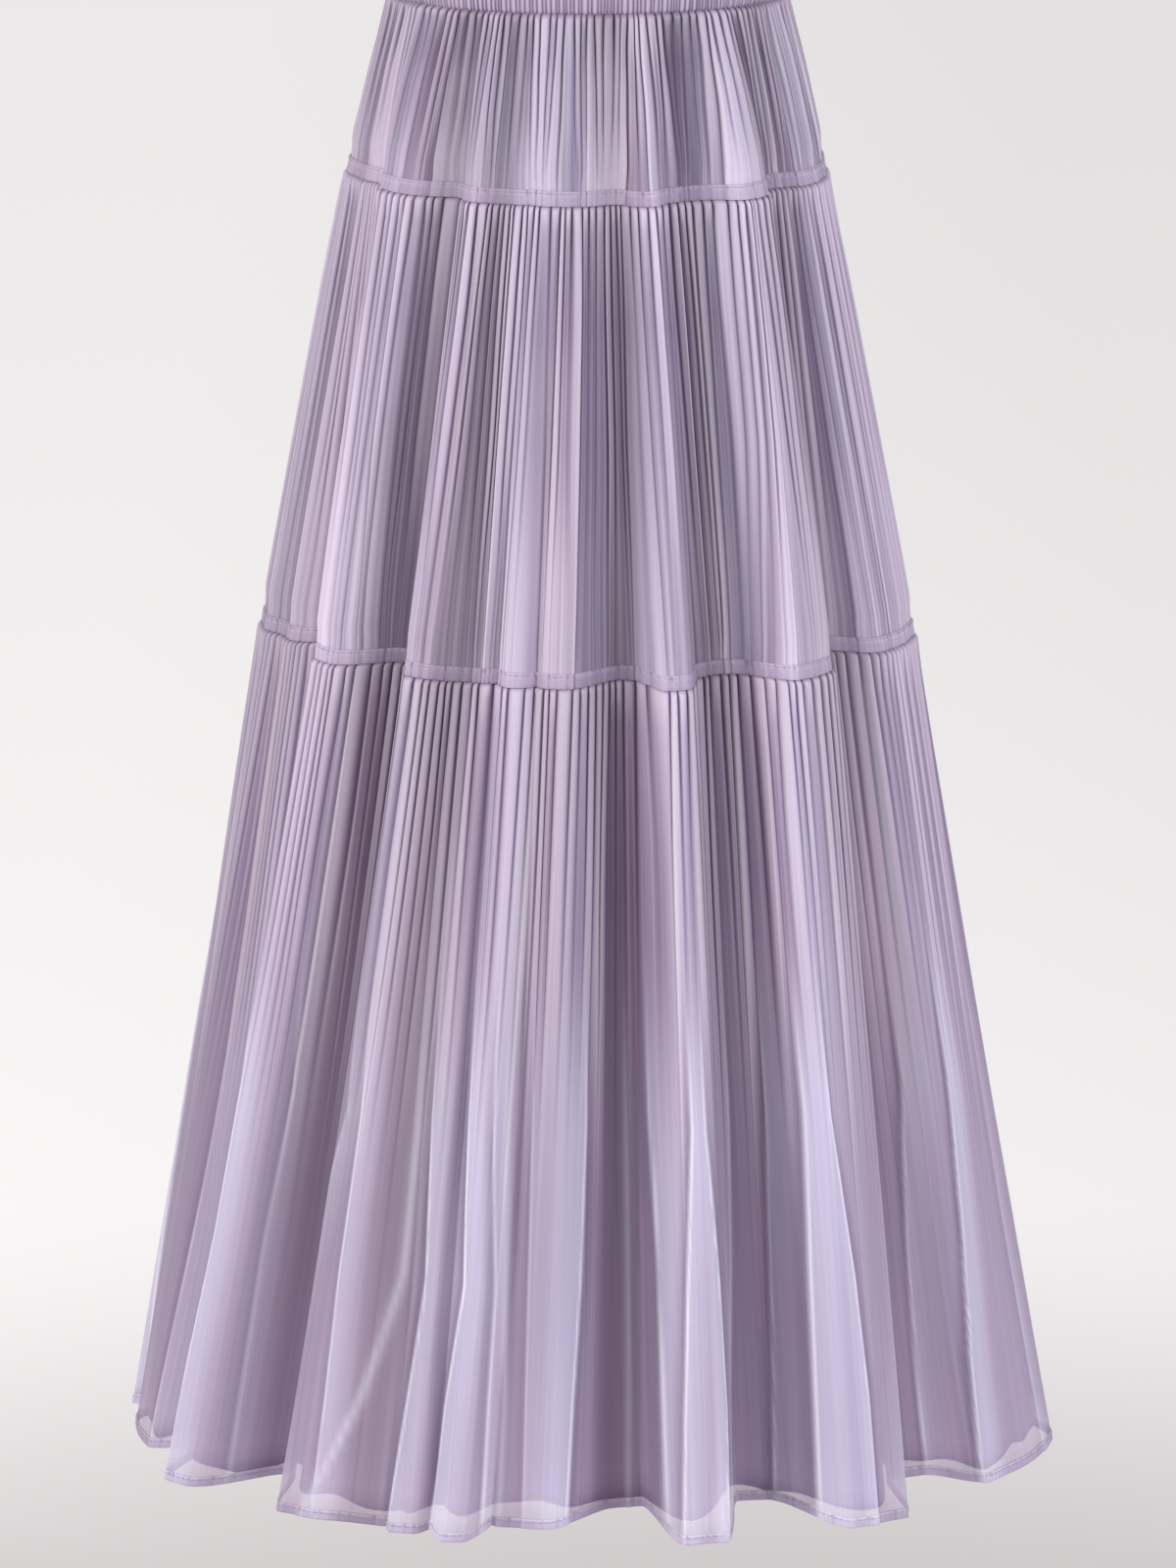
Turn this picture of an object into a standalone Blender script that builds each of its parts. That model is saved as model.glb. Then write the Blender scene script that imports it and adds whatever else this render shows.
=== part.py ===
"""A tiered maxi skirt, hollow and hanging as it is worn, built from the pieces that a maker cuts.

An elastic waistband carries three gathered tiers and a plain A-line lining. Each is a front and a back
that meet at the side seams. A narrow band lies along the foot of the first two tiers, and a narrow
turned hem closes the third.

Lengths are in metres and +Z is up. The origin is the middle of the waist opening, at half the height
of the waistband. A turn is a place round the skirt, in degrees from the centre front, which faces -Y,
and it grows towards +X. A drop is a place down the skirt, below the waistband's lower edge.
"""

import math
from bisect import bisect_right
from collections import namedtuple

import bmesh
import bpy

# Driving sizes.
WAISTBAND_HEIGHT = 0.035
WAISTBAND_THICKNESS = 0.003
WAISTBAND_BULGE = 0.0012
CLOTH_THICKNESS = 0.0012
LINING_THICKNESS = 0.0010
SEAM_GAP = 0.0003
FIRST_SEAM = 0.112
SECOND_SEAM = 0.405
HEM = 0.942
SEAM_BAND_HEIGHT = 0.0095
SEAM_BAND_THICKNESS = 0.0010
HEM_HEIGHT = 0.006
HEM_THICKNESS = 0.0020
LINING_END = 0.917
LINING_EASE = 0.0028
FOLD_SAG = 0.20
SAG_SOFTENING = 14.0
SIDE = 90.0

# The rings that the cloth hangs through, before any fold.
Ring = namedtuple("Ring", "drop half_width half_depth")
RINGS = (
    Ring(drop=0.000, half_width=0.1240, half_depth=0.0940),
    Ring(drop=0.055, half_width=0.1379, half_depth=0.1180),
    Ring(drop=0.112, half_width=0.1500, half_depth=0.1380),
    Ring(drop=0.240, half_width=0.1738, half_depth=0.1620),
    Ring(drop=0.405, half_width=0.2022, half_depth=0.1800),
    Ring(drop=0.650, half_width=0.2385, half_depth=0.1960),
    Ring(drop=0.942, half_width=0.2822, half_depth=0.2040),
)

# The largest folds. Each is a ridge between a left and a right edge, whose turns are given at the first
# seam, the second seam and the hem. A rise or a fall is the turn over which an edge climbs to the ridge or
# drops from it, and a small one makes the crisp edge of a fold that tucks behind. The depths are how far
# the ridge stands out, and the tucks how far the cloth is drawn in at the foot of its crisp edges.
Fold = namedtuple(
    "Fold",
    "left_first left_second left_hem rise right_first right_second right_hem fall"
    " depth_second depth_hem tuck_second tuck_hem",
)
FOLDS = (
    Fold(-59.0, -54.5, -63.0, 4.0, -38.0, -43.0, -51.0, 12.0, 0.012, 0.028, 0.018, 0.005),
    Fold(-31.0, -34.0, -42.0, 4.5, -15.0, -17.0, -21.5, 8.0, 0.013, 0.032, 0.010, 0.014),
    Fold(-20.0, -21.0, -25.5, 3.5, -14.0, -14.5, -18.0, 6.0, 0.014, 0.037, 0.000, 0.000),
    Fold(-12.0, -15.5, -19.5, 5.5, -5.0, -7.5, -12.0, 5.5, 0.018, 0.043, 0.000, 0.000),
    Fold(-10.0, -10.0, -14.0, 8.0, 2.0, 1.0, -1.0, 9.0, 0.018, 0.022, 0.000, 0.000),
    Fold(9.5, 10.5, 9.0, 4.0, 17.3, 18.2, 18.2, 4.0, 0.024, 0.043, 0.000, 0.006),
    Fold(34.0, 31.0, 28.5, 8.0, 47.9, 45.2, 42.0, 4.0, 0.022, 0.041, 0.018, 0.006),
    Fold(60.0, 57.0, 54.0, 7.0, 80.0, 81.0, 86.0, 9.0, 0.010, 0.024, 0.000, 0.000),
    Fold(106.0, 106.0, 104.0, 4.0, 121.0, 120.0, 124.0, 9.0, 0.011, 0.030, 0.006, 0.006),
    Fold(133.0, 131.0, 129.0, 9.0, 148.0, 147.0, 147.0, 3.5, 0.015, 0.036, 0.010, 0.010),
    Fold(158.0, 157.5, 157.0, 4.0, 168.0, 167.0, 168.0, 7.0, 0.010, 0.028, 0.000, 0.000),
    Fold(178.0, 177.0, 176.0, 3.5, 196.0, 195.0, 197.0, 10.0, 0.018, 0.040, 0.004, 0.008),
    Fold(207.0, 206.0, 204.0, 7.0, 216.0, 216.0, 215.0, 4.0, 0.010, 0.026, 0.000, 0.004),
    Fold(226.0, 225.0, 224.0, 3.5, 241.0, 240.0, 242.0, 9.0, 0.016, 0.037, 0.010, 0.010),
    Fold(250.0, 250.0, 249.0, 7.0, 258.0, 259.0, 261.0, 4.0, 0.008, 0.022, 0.000, 0.000),
    Fold(268.0, 268.0, 268.0, 6.0, 281.0, 283.0, 288.0, 7.0, 0.006, 0.014, 0.000, 0.000),
)
CRISP = 5.0
TUCK_REACH = 14.0

# The gathered tiers. A gather is one ridge and one valley, counted on the front or the back alone. Its
# depth is given at the seam that gathers it, at the puffed head just below, and at the tier's foot.
Tier = namedtuple("Tier", "name top foot gathers depth_seam depth_head depth_foot head_drop steps")
TIERS = (
    Tier("tier_1", 0.0, FIRST_SEAM, 26, 0.0009, 0.0036, 0.0024, 0.010, 2),
    Tier("tier_2", FIRST_SEAM, SECOND_SEAM, 34, 0.0009, 0.0042, 0.0024, 0.012, 2),
    Tier("tier_3", SECOND_SEAM, HEM - HEM_HEIGHT, 40, 0.0009, 0.0046, 0.0026, 0.014, 3),
)
GATHER_FADE = 0.014
GATHER_DRIFT = 0.35
GATHER_VARIATION = 0.7
LINING_COLUMNS = 54
WAISTBAND_COLUMNS = 36
WAISTBAND_ROWS = 2


def mix(a, b, share):
    return a + (b - a) * share


def smooth_step(x):
    x = min(max(x, 0.0), 1.0)
    return x * x * (3 - 2 * x)


def uneven(number):
    """A repeatable uneven value from -0.5 to 0.5 for each whole number."""
    return (number * 0.618034 + 0.37 * math.sin(number * 2.4)) % 1.0 - 0.5


def ring_size(drop, column):
    """A smooth curve through one column of the ring table."""
    low = min(max(bisect_right([ring.drop for ring in RINGS], drop) - 1, 0), len(RINGS) - 2)

    def slope(i):
        first, last = RINGS[max(i - 1, 0)], RINGS[min(i + 1, len(RINGS) - 1)]
        return (getattr(last, column) - getattr(first, column)) / (last.drop - first.drop)

    start, end = RINGS[low], RINGS[low + 1]
    span = end.drop - start.drop
    t = (drop - start.drop) / span
    return (
        getattr(start, column) * (1 + 2 * t) * (1 - t) ** 2
        + getattr(end, column) * t * t * (3 - 2 * t)
        + span * slope(low) * t * (1 - t) ** 2
        + span * slope(low + 1) * t * t * (t - 1)
    )


def along_drop(first, second, hem, drop):
    """A value at a drop, from its values at the two seams and the hem."""
    if drop < SECOND_SEAM:
        share = max(drop - FIRST_SEAM, 0.0) / (SECOND_SEAM - FIRST_SEAM)
        return mix(first, second, share)
    return mix(second, hem, (drop - SECOND_SEAM) / (HEM - SECOND_SEAM))


def left_edge(fold, drop):
    return along_drop(fold.left_first, fold.left_second, fold.left_hem, drop)


def right_edge(fold, drop):
    return along_drop(fold.right_first, fold.right_second, fold.right_hem, drop)


def growing(second, hem, drop):
    """A size at a drop, from nothing at the waist through its sizes at the second seam and the hem."""
    if drop < SECOND_SEAM:
        return second * drop / SECOND_SEAM
    return mix(second, hem, (drop - SECOND_SEAM) / (HEM - SECOND_SEAM))


def folds_out(turn, drop, inset=0.0, height=1.0, softening=0.0):
    """How far the large folds stand out of the plain ring. An inset narrows and softens them."""
    out, drawn_in = 0.0, 0.0
    for fold in FOLDS:
        left, right = left_edge(fold, drop) + inset, right_edge(fold, drop) - inset
        away = (turn - (left + right) / 2 + 180.0) % 360.0 - 180.0
        half = (right - left) / 2
        reach = TUCK_REACH + 2 * inset
        climb = smooth_step((away + half) / (fold.rise + 2 * inset + softening) + 0.5)
        descent = smooth_step((half - away) / (fold.fall + 2 * inset + softening) + 0.5)
        out = max(out, growing(fold.depth_second, fold.depth_hem, drop) * climb * descent)
        tuck = growing(fold.tuck_second, fold.tuck_hem, drop)
        if fold.rise < CRISP and away < 0:
            drawn_in = max(drawn_in, tuck * (1 - climb) * smooth_step((away + half) / reach + 1))
        if fold.fall < CRISP and away > 0:
            drawn_in = max(drawn_in, tuck * (1 - descent) * smooth_step((half - away) / reach + 1))
    return height * out - drawn_in


def fold_sag(turn, drop):
    """How far the ridges hang below the valleys, in an even wave at the seams and crisply at the hem."""
    share = min((HEM - drop) / (HEM - SECOND_SEAM), 1.0)
    return FOLD_SAG * folds_out(turn, drop, softening=SAG_SOFTENING * share)


def column_turns(count, facing, drop, inset=0.0, drift=0.0):
    """The turns of a panel's columns at a drop.

    Two columns follow the foot and the crown of each crisp edge down the skirt, the foot in a valley and
    the crown on a ridge. The others are spread between them, as unevenly as the drift says.
    """
    pinned = {0: facing - SIDE, count: facing + SIDE}
    for fold in FOLDS:
        edges = (
            (-1, fold.rise, fold.left_second, left_edge(fold, drop)),
            (1, fold.fall, fold.right_second, right_edge(fold, drop)),
        )
        for outward, turning, at_seam, here in edges:
            away = (at_seam - facing + 180.0) % 360.0 - 180.0
            if turning < CRISP and abs(away) < SIDE:
                valley = 2 * round((away + SIDE) / (2 * SIDE) * count / 2)
                bend = outward * (turning / 2 + inset)
                turn = facing + away + here - at_seam - outward * inset
                pinned[valley] = turn + bend
                pinned[valley - outward] = turn - bend
    places = sorted(pinned)
    turns = []
    for first, last in zip(places, places[1:]):
        for column in range(first, last):
            stray = drift * uneven(column + count) if column > first else 0.0
            turns.append(mix(pinned[first], pinned[last], (column + stray - first) / (last - first)))
    return [*turns, pinned[count]]


def ring_point(turn, drop, out, sag):
    """The point at a turn and a drop, moved out along the plain ring's own normal."""
    width, depth = ring_size(drop, "half_width"), ring_size(drop, "half_depth")
    across, along = math.sin(math.radians(turn)), -math.cos(math.radians(turn))
    size = math.hypot(across / width, along / depth)
    return (
        width * across + out * across / width / size,
        depth * along + out * along / depth / size,
        -WAISTBAND_HEIGHT / 2 - drop - sag,
    )


def tier_rows(tier):
    """The drops of a tier's rings: its seam, its gathers' heads, even steps, and its foot."""
    head, last = tier.top + tier.head_drop, tier.foot - SEAM_BAND_HEIGHT - GATHER_FADE
    steps = [mix(head, last, step / tier.steps) for step in range(tier.steps + 1)]
    rows = [tier.top + SEAM_GAP / 2, *steps]
    if tier.foot == TIERS[-1].foot:
        rows[-1] = tier.foot - SEAM_GAP / 2
        return rows
    return [*rows, tier.foot - SEAM_BAND_HEIGHT, tier.foot - SEAM_GAP / 2]


def gather_depth(tier, drop):
    """How far a tier's gathers stand out: little at the seam, most at the head, then less and less."""
    if drop < tier.top + tier.head_drop:
        return mix(tier.depth_seam, tier.depth_head, smooth_step((drop - tier.top) / tier.head_drop))
    down = (drop - tier.top - tier.head_drop) / (tier.foot - tier.top - tier.head_drop)
    flat = smooth_step((tier.foot - SEAM_BAND_HEIGHT - drop) / GATHER_FADE)
    if tier.foot == TIERS[-1].foot:
        flat = 1.0
    return mix(tier.depth_head, tier.depth_foot, min(down, 1.0)) * flat


def tier_ring(tier, facing, drop):
    """The points of a tier's outer face at a drop. Odd columns are the ridges of its gathers."""
    ring = []
    turns = column_turns(2 * tier.gathers, facing, drop, drift=GATHER_DRIFT)
    for column, turn in enumerate(turns):
        share = 1.0 + GATHER_VARIATION * uneven(3 * column + tier.gathers) if column % 2 else 0.0
        out = folds_out(turn, drop) + gather_depth(tier, drop) * share
        ring.append(ring_point(turn, drop, out, fold_sag(turn, drop)))
    return ring


def lining_ring(facing, drop):
    """The points of the lining's outer face at a drop, inside the tiers and their folds."""
    ring = []
    ease = mix(SEAM_GAP, LINING_EASE, smooth_step(drop / TIERS[0].head_drop))
    for turn in column_turns(LINING_COLUMNS, facing, drop, inset=1.5):
        folds = folds_out(turn, drop, inset=1.5, height=0.85)
        ring.append(ring_point(turn, drop, folds - CLOTH_THICKNESS - ease, fold_sag(turn, drop)))
    return ring


def waistband_ring(facing, share):
    """The points of the waistband's outer face at a share of its height, counted from the top."""
    ring = []
    for column in range(WAISTBAND_COLUMNS + 1):
        turn = facing - SIDE + 2 * SIDE * column / WAISTBAND_COLUMNS
        x, y, _ = ring_point(turn, 0.0, WAISTBAND_BULGE * math.sin(math.pi * share), 0.0)
        ring.append((x, y, WAISTBAND_HEIGHT * (0.5 - share)))
    return ring


def wall_direction(before, here, after):
    """The level way out of a ring at a point, lengthened at a bend so that the wall stays even."""
    first = (here[1] - before[1], before[0] - here[0])
    second = (after[1] - here[1], here[0] - after[0])
    first = [n / math.hypot(*first) for n in first]
    second = [n / math.hypot(*second) for n in second]
    both = (first[0] + second[0], first[1] + second[1])
    size = math.hypot(*both)
    straightness = max(size / 2, 0.6)
    return both[0] / size / straightness, both[1] / size / straightness


def moved_ring(ring, distance):
    """A ring's points moved out, with its two ends drawn back from the side seams."""
    back = math.copysign(SEAM_GAP / 2, ring[len(ring) // 2][1])
    points = []
    for i, (x, y, z) in enumerate(ring):
        if i in (0, len(ring) - 1):
            points.append((x + math.copysign(distance, x), back, z))
        else:
            way = wall_direction(ring[i - 1], ring[i], ring[i + 1])
            points.append((x + way[0] * distance, y + way[1] * distance, z))
    return points


def hang(name, rings, face, thickness, material, collection):
    """Makes one cloth piece from a flat grid of two layers, whose points go to the rings' points.

    The outer layer lies at a distance called face outside the rings, and the inner one lies one
    thickness inside that.
    """
    layers = [[moved_ring(ring, face - thickness * layer) for ring in rings] for layer in (0, 1)]
    columns, rows = len(rings[0]) - 1, len(rings) - 1
    cloth = bmesh.new()
    bmesh.ops.create_grid(cloth, x_segments=columns, y_segments=rows, size=0.5)
    for vertex in cloth.verts:
        vertex.co = ((vertex.co.x + 0.5) * columns, (vertex.co.y + 0.5) * rows, 0.0)
    second = bmesh.ops.extrude_face_region(cloth, geom=cloth.faces[:], use_keep_orig=True)
    points = [part for part in second["geom"] if isinstance(part, bmesh.types.BMVert)]
    bmesh.ops.translate(cloth, verts=points, vec=(0.0, 0.0, 1.0))
    for vertex in cloth.verts:
        column, row, layer = (round(n) for n in vertex.co)
        vertex.co = layers[layer][row][column]
    bmesh.ops.recalc_face_normals(cloth, faces=cloth.faces[:])
    if cloth.calc_volume(signed=True) < 0:
        bmesh.ops.reverse_faces(cloth, faces=cloth.faces[:])
    for face_of_cloth in cloth.faces:
        face_of_cloth.smooth = True
    mesh = bpy.data.meshes.new(name)
    cloth.to_mesh(mesh)
    cloth.free()
    mesh.materials.append(material)
    collection.objects.link(bpy.data.objects.new(name, mesh))


def cloth_material(name, colour, roughness):
    material = bpy.data.materials.new(name)
    material.use_nodes = True
    shader = material.node_tree.nodes["Principled BSDF"]
    shader.inputs["Base Color"].default_value = (*colour, 1.0)
    shader.inputs["Roughness"].default_value = roughness
    shader.inputs["Metallic"].default_value = 0.0
    return material


def main():
    for thing in list(bpy.data.objects):
        bpy.data.objects.remove(thing)
    skirt = bpy.data.collections.new("tiered_maxi_skirt")
    bpy.context.scene.collection.children.link(skirt)
    chiffon = cloth_material("lavender_chiffon", (0.50, 0.42, 0.58), 0.6)
    casing = cloth_material("lavender_casing", (0.52, 0.44, 0.60), 0.6)
    satin = cloth_material("lavender_lining", (0.38, 0.30, 0.46), 0.7)
    lining_drops = (
        SEAM_GAP / 2,
        TIERS[0].head_drop,
        FIRST_SEAM / 2,
        FIRST_SEAM,
        (FIRST_SEAM + SECOND_SEAM) / 2,
        SECOND_SEAM,
        (SECOND_SEAM + LINING_END) / 2,
        LINING_END,
    )
    for side, facing in (("front", 0.0), ("back", 180.0)):
        rings = [waistband_ring(facing, row / WAISTBAND_ROWS) for row in range(WAISTBAND_ROWS + 1)]
        hang(f"waistband_{side}", rings, 0.0, WAISTBAND_THICKNESS, casing, skirt)
        for tier in TIERS:
            rings = [tier_ring(tier, facing, drop) for drop in tier_rows(tier)]
            hang(f"{tier.name}_{side}", rings, 0.0, CLOTH_THICKNESS, chiffon, skirt)
        for tier in TIERS[:2]:
            rings = [tier_ring(tier, facing, drop) for drop in tier_rows(tier)[-2:]]
            face = SEAM_GAP + SEAM_BAND_THICKNESS
            hang(f"{tier.name}_seam_band_{side}", rings, face, SEAM_BAND_THICKNESS, chiffon, skirt)
        hem_drops = (HEM - HEM_HEIGHT + SEAM_GAP / 2, HEM)
        rings = [tier_ring(TIERS[2], facing, drop) for drop in hem_drops]
        face = (HEM_THICKNESS - CLOTH_THICKNESS) / 2
        hang(f"hem_{side}", rings, face, HEM_THICKNESS, chiffon, skirt)
        rings = [lining_ring(facing, drop) for drop in lining_drops]
        hang(f"lining_{side}", rings, 0.0, LINING_THICKNESS, satin, skirt)


main()
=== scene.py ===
# %% [markdown]
# # A lavender chiffon maxi skirt
#
# This script dresses a plain solid model of a skirt so that it looks like cloth. The real skirt is a
# waistband with elastic in it, three strips of chiffon that are each gathered onto the one above, and a
# satin lining inside. Each strip is a flat rectangle, much wider than the seam it is sewn to, and the
# spare width stands up in narrow pleats that run down the cloth and slowly open out.
#
# Lengths are in metres and Z is up. A turn is a place round the skirt, in degrees from the centre front,
# which faces -Y, and it grows towards +X. A drop is a place down the skirt, below the waistband.

# %% Load the solid model, which gives every size and place
import math
from collections import namedtuple

import bmesh
import bpy
import numpy as np
from mathutils import Matrix, Vector


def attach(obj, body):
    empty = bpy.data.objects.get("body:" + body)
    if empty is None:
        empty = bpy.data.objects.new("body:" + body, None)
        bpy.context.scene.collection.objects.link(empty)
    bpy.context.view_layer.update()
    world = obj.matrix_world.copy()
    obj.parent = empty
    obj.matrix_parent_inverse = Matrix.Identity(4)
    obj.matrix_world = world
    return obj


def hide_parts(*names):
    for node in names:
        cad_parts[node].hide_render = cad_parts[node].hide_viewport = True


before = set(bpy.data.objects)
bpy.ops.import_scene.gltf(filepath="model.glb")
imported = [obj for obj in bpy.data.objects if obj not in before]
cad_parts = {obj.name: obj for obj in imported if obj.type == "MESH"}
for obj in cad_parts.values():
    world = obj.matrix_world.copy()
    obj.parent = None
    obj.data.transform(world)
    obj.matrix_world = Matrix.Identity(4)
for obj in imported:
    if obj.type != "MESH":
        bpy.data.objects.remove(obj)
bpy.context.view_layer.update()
print("nodes:", sorted(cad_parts))

# %% [markdown]
# ## Sizes
#
# These are the sizes of the solid model, written out again, because the cloth has to lie exactly where
# its solids do. The rings are the plain shape of the skirt, like the hoops of a crinoline. The folds are
# the deepest ridges and hollows, which every layer follows. Each fold has a left and a right edge, given
# in turns at the first seam, at the second seam and at the hem. Its rise and fall say over how many
# degrees those edges turn, and a tuck says how far the cloth beside a crisp edge is drawn in. A table
# with named columns keeps each number readable, and one change here moves the cloth, its seams and its
# lining together.

# %% Sizes, rings and the largest folds
WAISTBAND_HEIGHT = 0.035
FIRST_SEAM = 0.112
SECOND_SEAM = 0.405
HEM = 0.942
SEAM_BAND_HEIGHT = 0.0092
HEM_HEIGHT = 0.006

Ring = namedtuple("Ring", "drop half_width half_depth")
RINGS = (
    Ring(drop=0.000, half_width=0.1240, half_depth=0.0940),
    Ring(drop=0.055, half_width=0.1379, half_depth=0.1180),
    Ring(drop=0.112, half_width=0.1500, half_depth=0.1380),
    Ring(drop=0.240, half_width=0.1738, half_depth=0.1620),
    Ring(drop=0.405, half_width=0.2022, half_depth=0.1800),
    Ring(drop=0.650, half_width=0.2385, half_depth=0.1960),
    Ring(drop=0.942, half_width=0.2822, half_depth=0.2040),
)

Fold = namedtuple(
    "Fold",
    "left_first left_second left_hem rise right_first right_second right_hem fall"
    " depth_second depth_hem tuck_second tuck_hem",
)
FOLDS = (
    Fold(-59.0, -54.5, -63.0, 4.0, -38.0, -43.0, -51.0, 12.0, 0.012, 0.028, 0.018, 0.005),
    Fold(-31.0, -34.0, -42.0, 4.5, -15.0, -17.0, -21.5, 8.0, 0.013, 0.032, 0.010, 0.014),
    Fold(-20.0, -21.0, -25.5, 3.5, -14.0, -14.5, -18.0, 6.0, 0.014, 0.037, 0.000, 0.000),
    Fold(-12.0, -15.5, -19.5, 5.5, -5.0, -7.5, -12.0, 5.5, 0.018, 0.043, 0.000, 0.000),
    Fold(-10.0, -10.0, -14.0, 8.0, 2.0, 1.0, -1.0, 9.0, 0.018, 0.022, 0.000, 0.000),
    Fold(9.5, 10.5, 9.0, 4.0, 17.3, 18.2, 18.2, 4.0, 0.024, 0.043, 0.000, 0.006),
    Fold(34.0, 31.0, 28.5, 8.0, 47.9, 45.2, 42.0, 4.0, 0.022, 0.041, 0.018, 0.006),
    Fold(60.0, 57.0, 54.0, 7.0, 80.0, 81.0, 86.0, 9.0, 0.010, 0.024, 0.000, 0.000),
    Fold(106.0, 106.0, 104.0, 4.0, 121.0, 120.0, 124.0, 9.0, 0.011, 0.030, 0.006, 0.006),
    Fold(133.0, 131.0, 129.0, 9.0, 148.0, 147.0, 147.0, 3.5, 0.015, 0.036, 0.010, 0.010),
    Fold(158.0, 157.5, 157.0, 4.0, 168.0, 167.0, 168.0, 7.0, 0.010, 0.028, 0.000, 0.000),
    Fold(178.0, 177.0, 176.0, 3.5, 196.0, 195.0, 197.0, 10.0, 0.018, 0.040, 0.004, 0.008),
    Fold(207.0, 206.0, 204.0, 7.0, 216.0, 216.0, 215.0, 4.0, 0.010, 0.026, 0.000, 0.004),
    Fold(226.0, 225.0, 224.0, 3.5, 241.0, 240.0, 242.0, 9.0, 0.016, 0.037, 0.010, 0.010),
    Fold(250.0, 250.0, 249.0, 7.0, 258.0, 259.0, 261.0, 4.0, 0.008, 0.022, 0.000, 0.000),
    Fold(268.0, 268.0, 268.0, 6.0, 281.0, 283.0, 288.0, 7.0, 0.006, 0.014, 0.000, 0.000),
)
print(len(RINGS), "rings and", len(FOLDS), "large folds")

# %% [markdown]
# ## The rings
#
# A point of the cloth is found from two numbers, its turn and its drop. First the plain ring gives a
# point, then the folds push it out or in, square to the ring. Between the rings of the table the size
# follows a smooth curve. A lofted curve could give the plain shape too, but with plain functions every
# layer can ask for the same shape. They take whole arrays at once, one row of points for each drop,
# because a cloth of many thousand points is then shaped in a moment.


# %% Rings
def smooth_step(x):
    x = np.clip(x, 0.0, 1.0)
    return x * x * (3 - 2 * x)


def mix(a, b, share):
    return a + (b - a) * share


def ring_size(drop, column):
    """A smooth curve through one column of the ring table."""
    drops = np.array([ring.drop for ring in RINGS])
    sizes = np.array([getattr(ring, column) for ring in RINGS])
    first = np.maximum(np.arange(len(RINGS)) - 1, 0)
    last = np.minimum(np.arange(len(RINGS)) + 1, len(RINGS) - 1)
    slopes = (sizes[last] - sizes[first]) / (drops[last] - drops[first])
    low = np.clip(np.searchsorted(drops, drop, side="right") - 1, 0, len(RINGS) - 2)
    span = drops[low + 1] - drops[low]
    t = (drop - drops[low]) / span
    ends = sizes[low] * (1 + 2 * t) * (1 - t) ** 2 + sizes[low + 1] * t * t * (3 - 2 * t)
    bend = slopes[low] * t * (1 - t) ** 2 + slopes[low + 1] * t * t * (t - 1)
    return ends + span * bend


for drop in (0.0, FIRST_SEAM, SECOND_SEAM, HEM):
    sizes = [round(2 * float(ring_size(drop, column)), 3) for column in ("half_width", "half_depth")]
    print("ring at drop", drop, "width and depth", sizes)

# %% [markdown]
# ## The large folds
#
# A fold climbs at one edge and descends at the other. An edge that turns in less than five degrees is
# crisp, and the cloth beside it is drawn in, because the fold tucks it under. Where a fold stands out,
# the cloth has further to go and hangs a little lower, so seams and hem dip at each fold. Every edge
# leans as it falls, and its place at any drop lies between the three places that the table gives.


# %% Large folds
CRISP = 5.0
TUCK_REACH = 14.0
FOLD_SAG = 0.20
SAG_SOFTENING = 14.0


def degrees_from(turn, centre):
    """The shorter way round from the centre to a turn, from -180 to 180 degrees."""
    return (turn - centre + 180.0) % 360.0 - 180.0


def along_drop(first, second, hem, drop):
    share = np.clip((drop - FIRST_SEAM) / (SECOND_SEAM - FIRST_SEAM), 0.0, 1.0)
    below = np.maximum(drop - SECOND_SEAM, 0.0) / (HEM - SECOND_SEAM)
    return mix(first, second, share) + (hem - second) * below


def left_edge(fold, drop):
    return along_drop(fold.left_first, fold.left_second, fold.left_hem, drop)


def right_edge(fold, drop):
    return along_drop(fold.right_first, fold.right_second, fold.right_hem, drop)


def growing(second, hem, drop):
    below = np.maximum(drop - SECOND_SEAM, 0.0) / (HEM - SECOND_SEAM)
    return second * np.minimum(drop / SECOND_SEAM, 1.0) + (hem - second) * below


def folds_out(turn, drop, inset=0.0, height=1.0, softening=0.0):
    """How far the large folds stand out of the plain ring. An inset narrows and softens them."""
    out, drawn_in = np.zeros_like(turn), np.zeros_like(turn)
    for fold in FOLDS:
        left, right = left_edge(fold, drop) + inset, right_edge(fold, drop) - inset
        away = degrees_from(turn, (left + right) / 2)
        half = (right - left) / 2
        reach = TUCK_REACH + 2 * inset
        climb = smooth_step((away + half) / (fold.rise + 2 * inset + softening) + 0.5)
        descent = smooth_step((half - away) / (fold.fall + 2 * inset + softening) + 0.5)
        out = np.maximum(out, growing(fold.depth_second, fold.depth_hem, drop) * climb * descent)
        tuck = growing(fold.tuck_second, fold.tuck_hem, drop)
        if fold.rise < CRISP:
            beside = tuck * (1 - climb) * smooth_step((away + half) / reach + 1) * (away < 0)
            drawn_in = np.maximum(drawn_in, beside)
        if fold.fall < CRISP:
            beside = tuck * (1 - descent) * smooth_step((half - away) / reach + 1) * (away > 0)
            drawn_in = np.maximum(drawn_in, beside)
    return height * out - drawn_in


def fold_sag(turn, drop):
    share = np.minimum((HEM - drop) / (HEM - SECOND_SEAM), 1.0)
    return FOLD_SAG * folds_out(turn, drop, softening=SAG_SOFTENING * share)


deepest = float(folds_out(np.arange(0.0, 360.0), HEM).max())
print("the deepest fold stands out", round(deepest, 3), "m at the hem")

# %% [markdown]
# ## Points of the cloth
#
# Now a turn, a drop and a distance outwards make a point. It is moved along the normal of its own ring,
# so a fold keeps its thickness at the sides of the oval as well as at the front.


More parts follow.
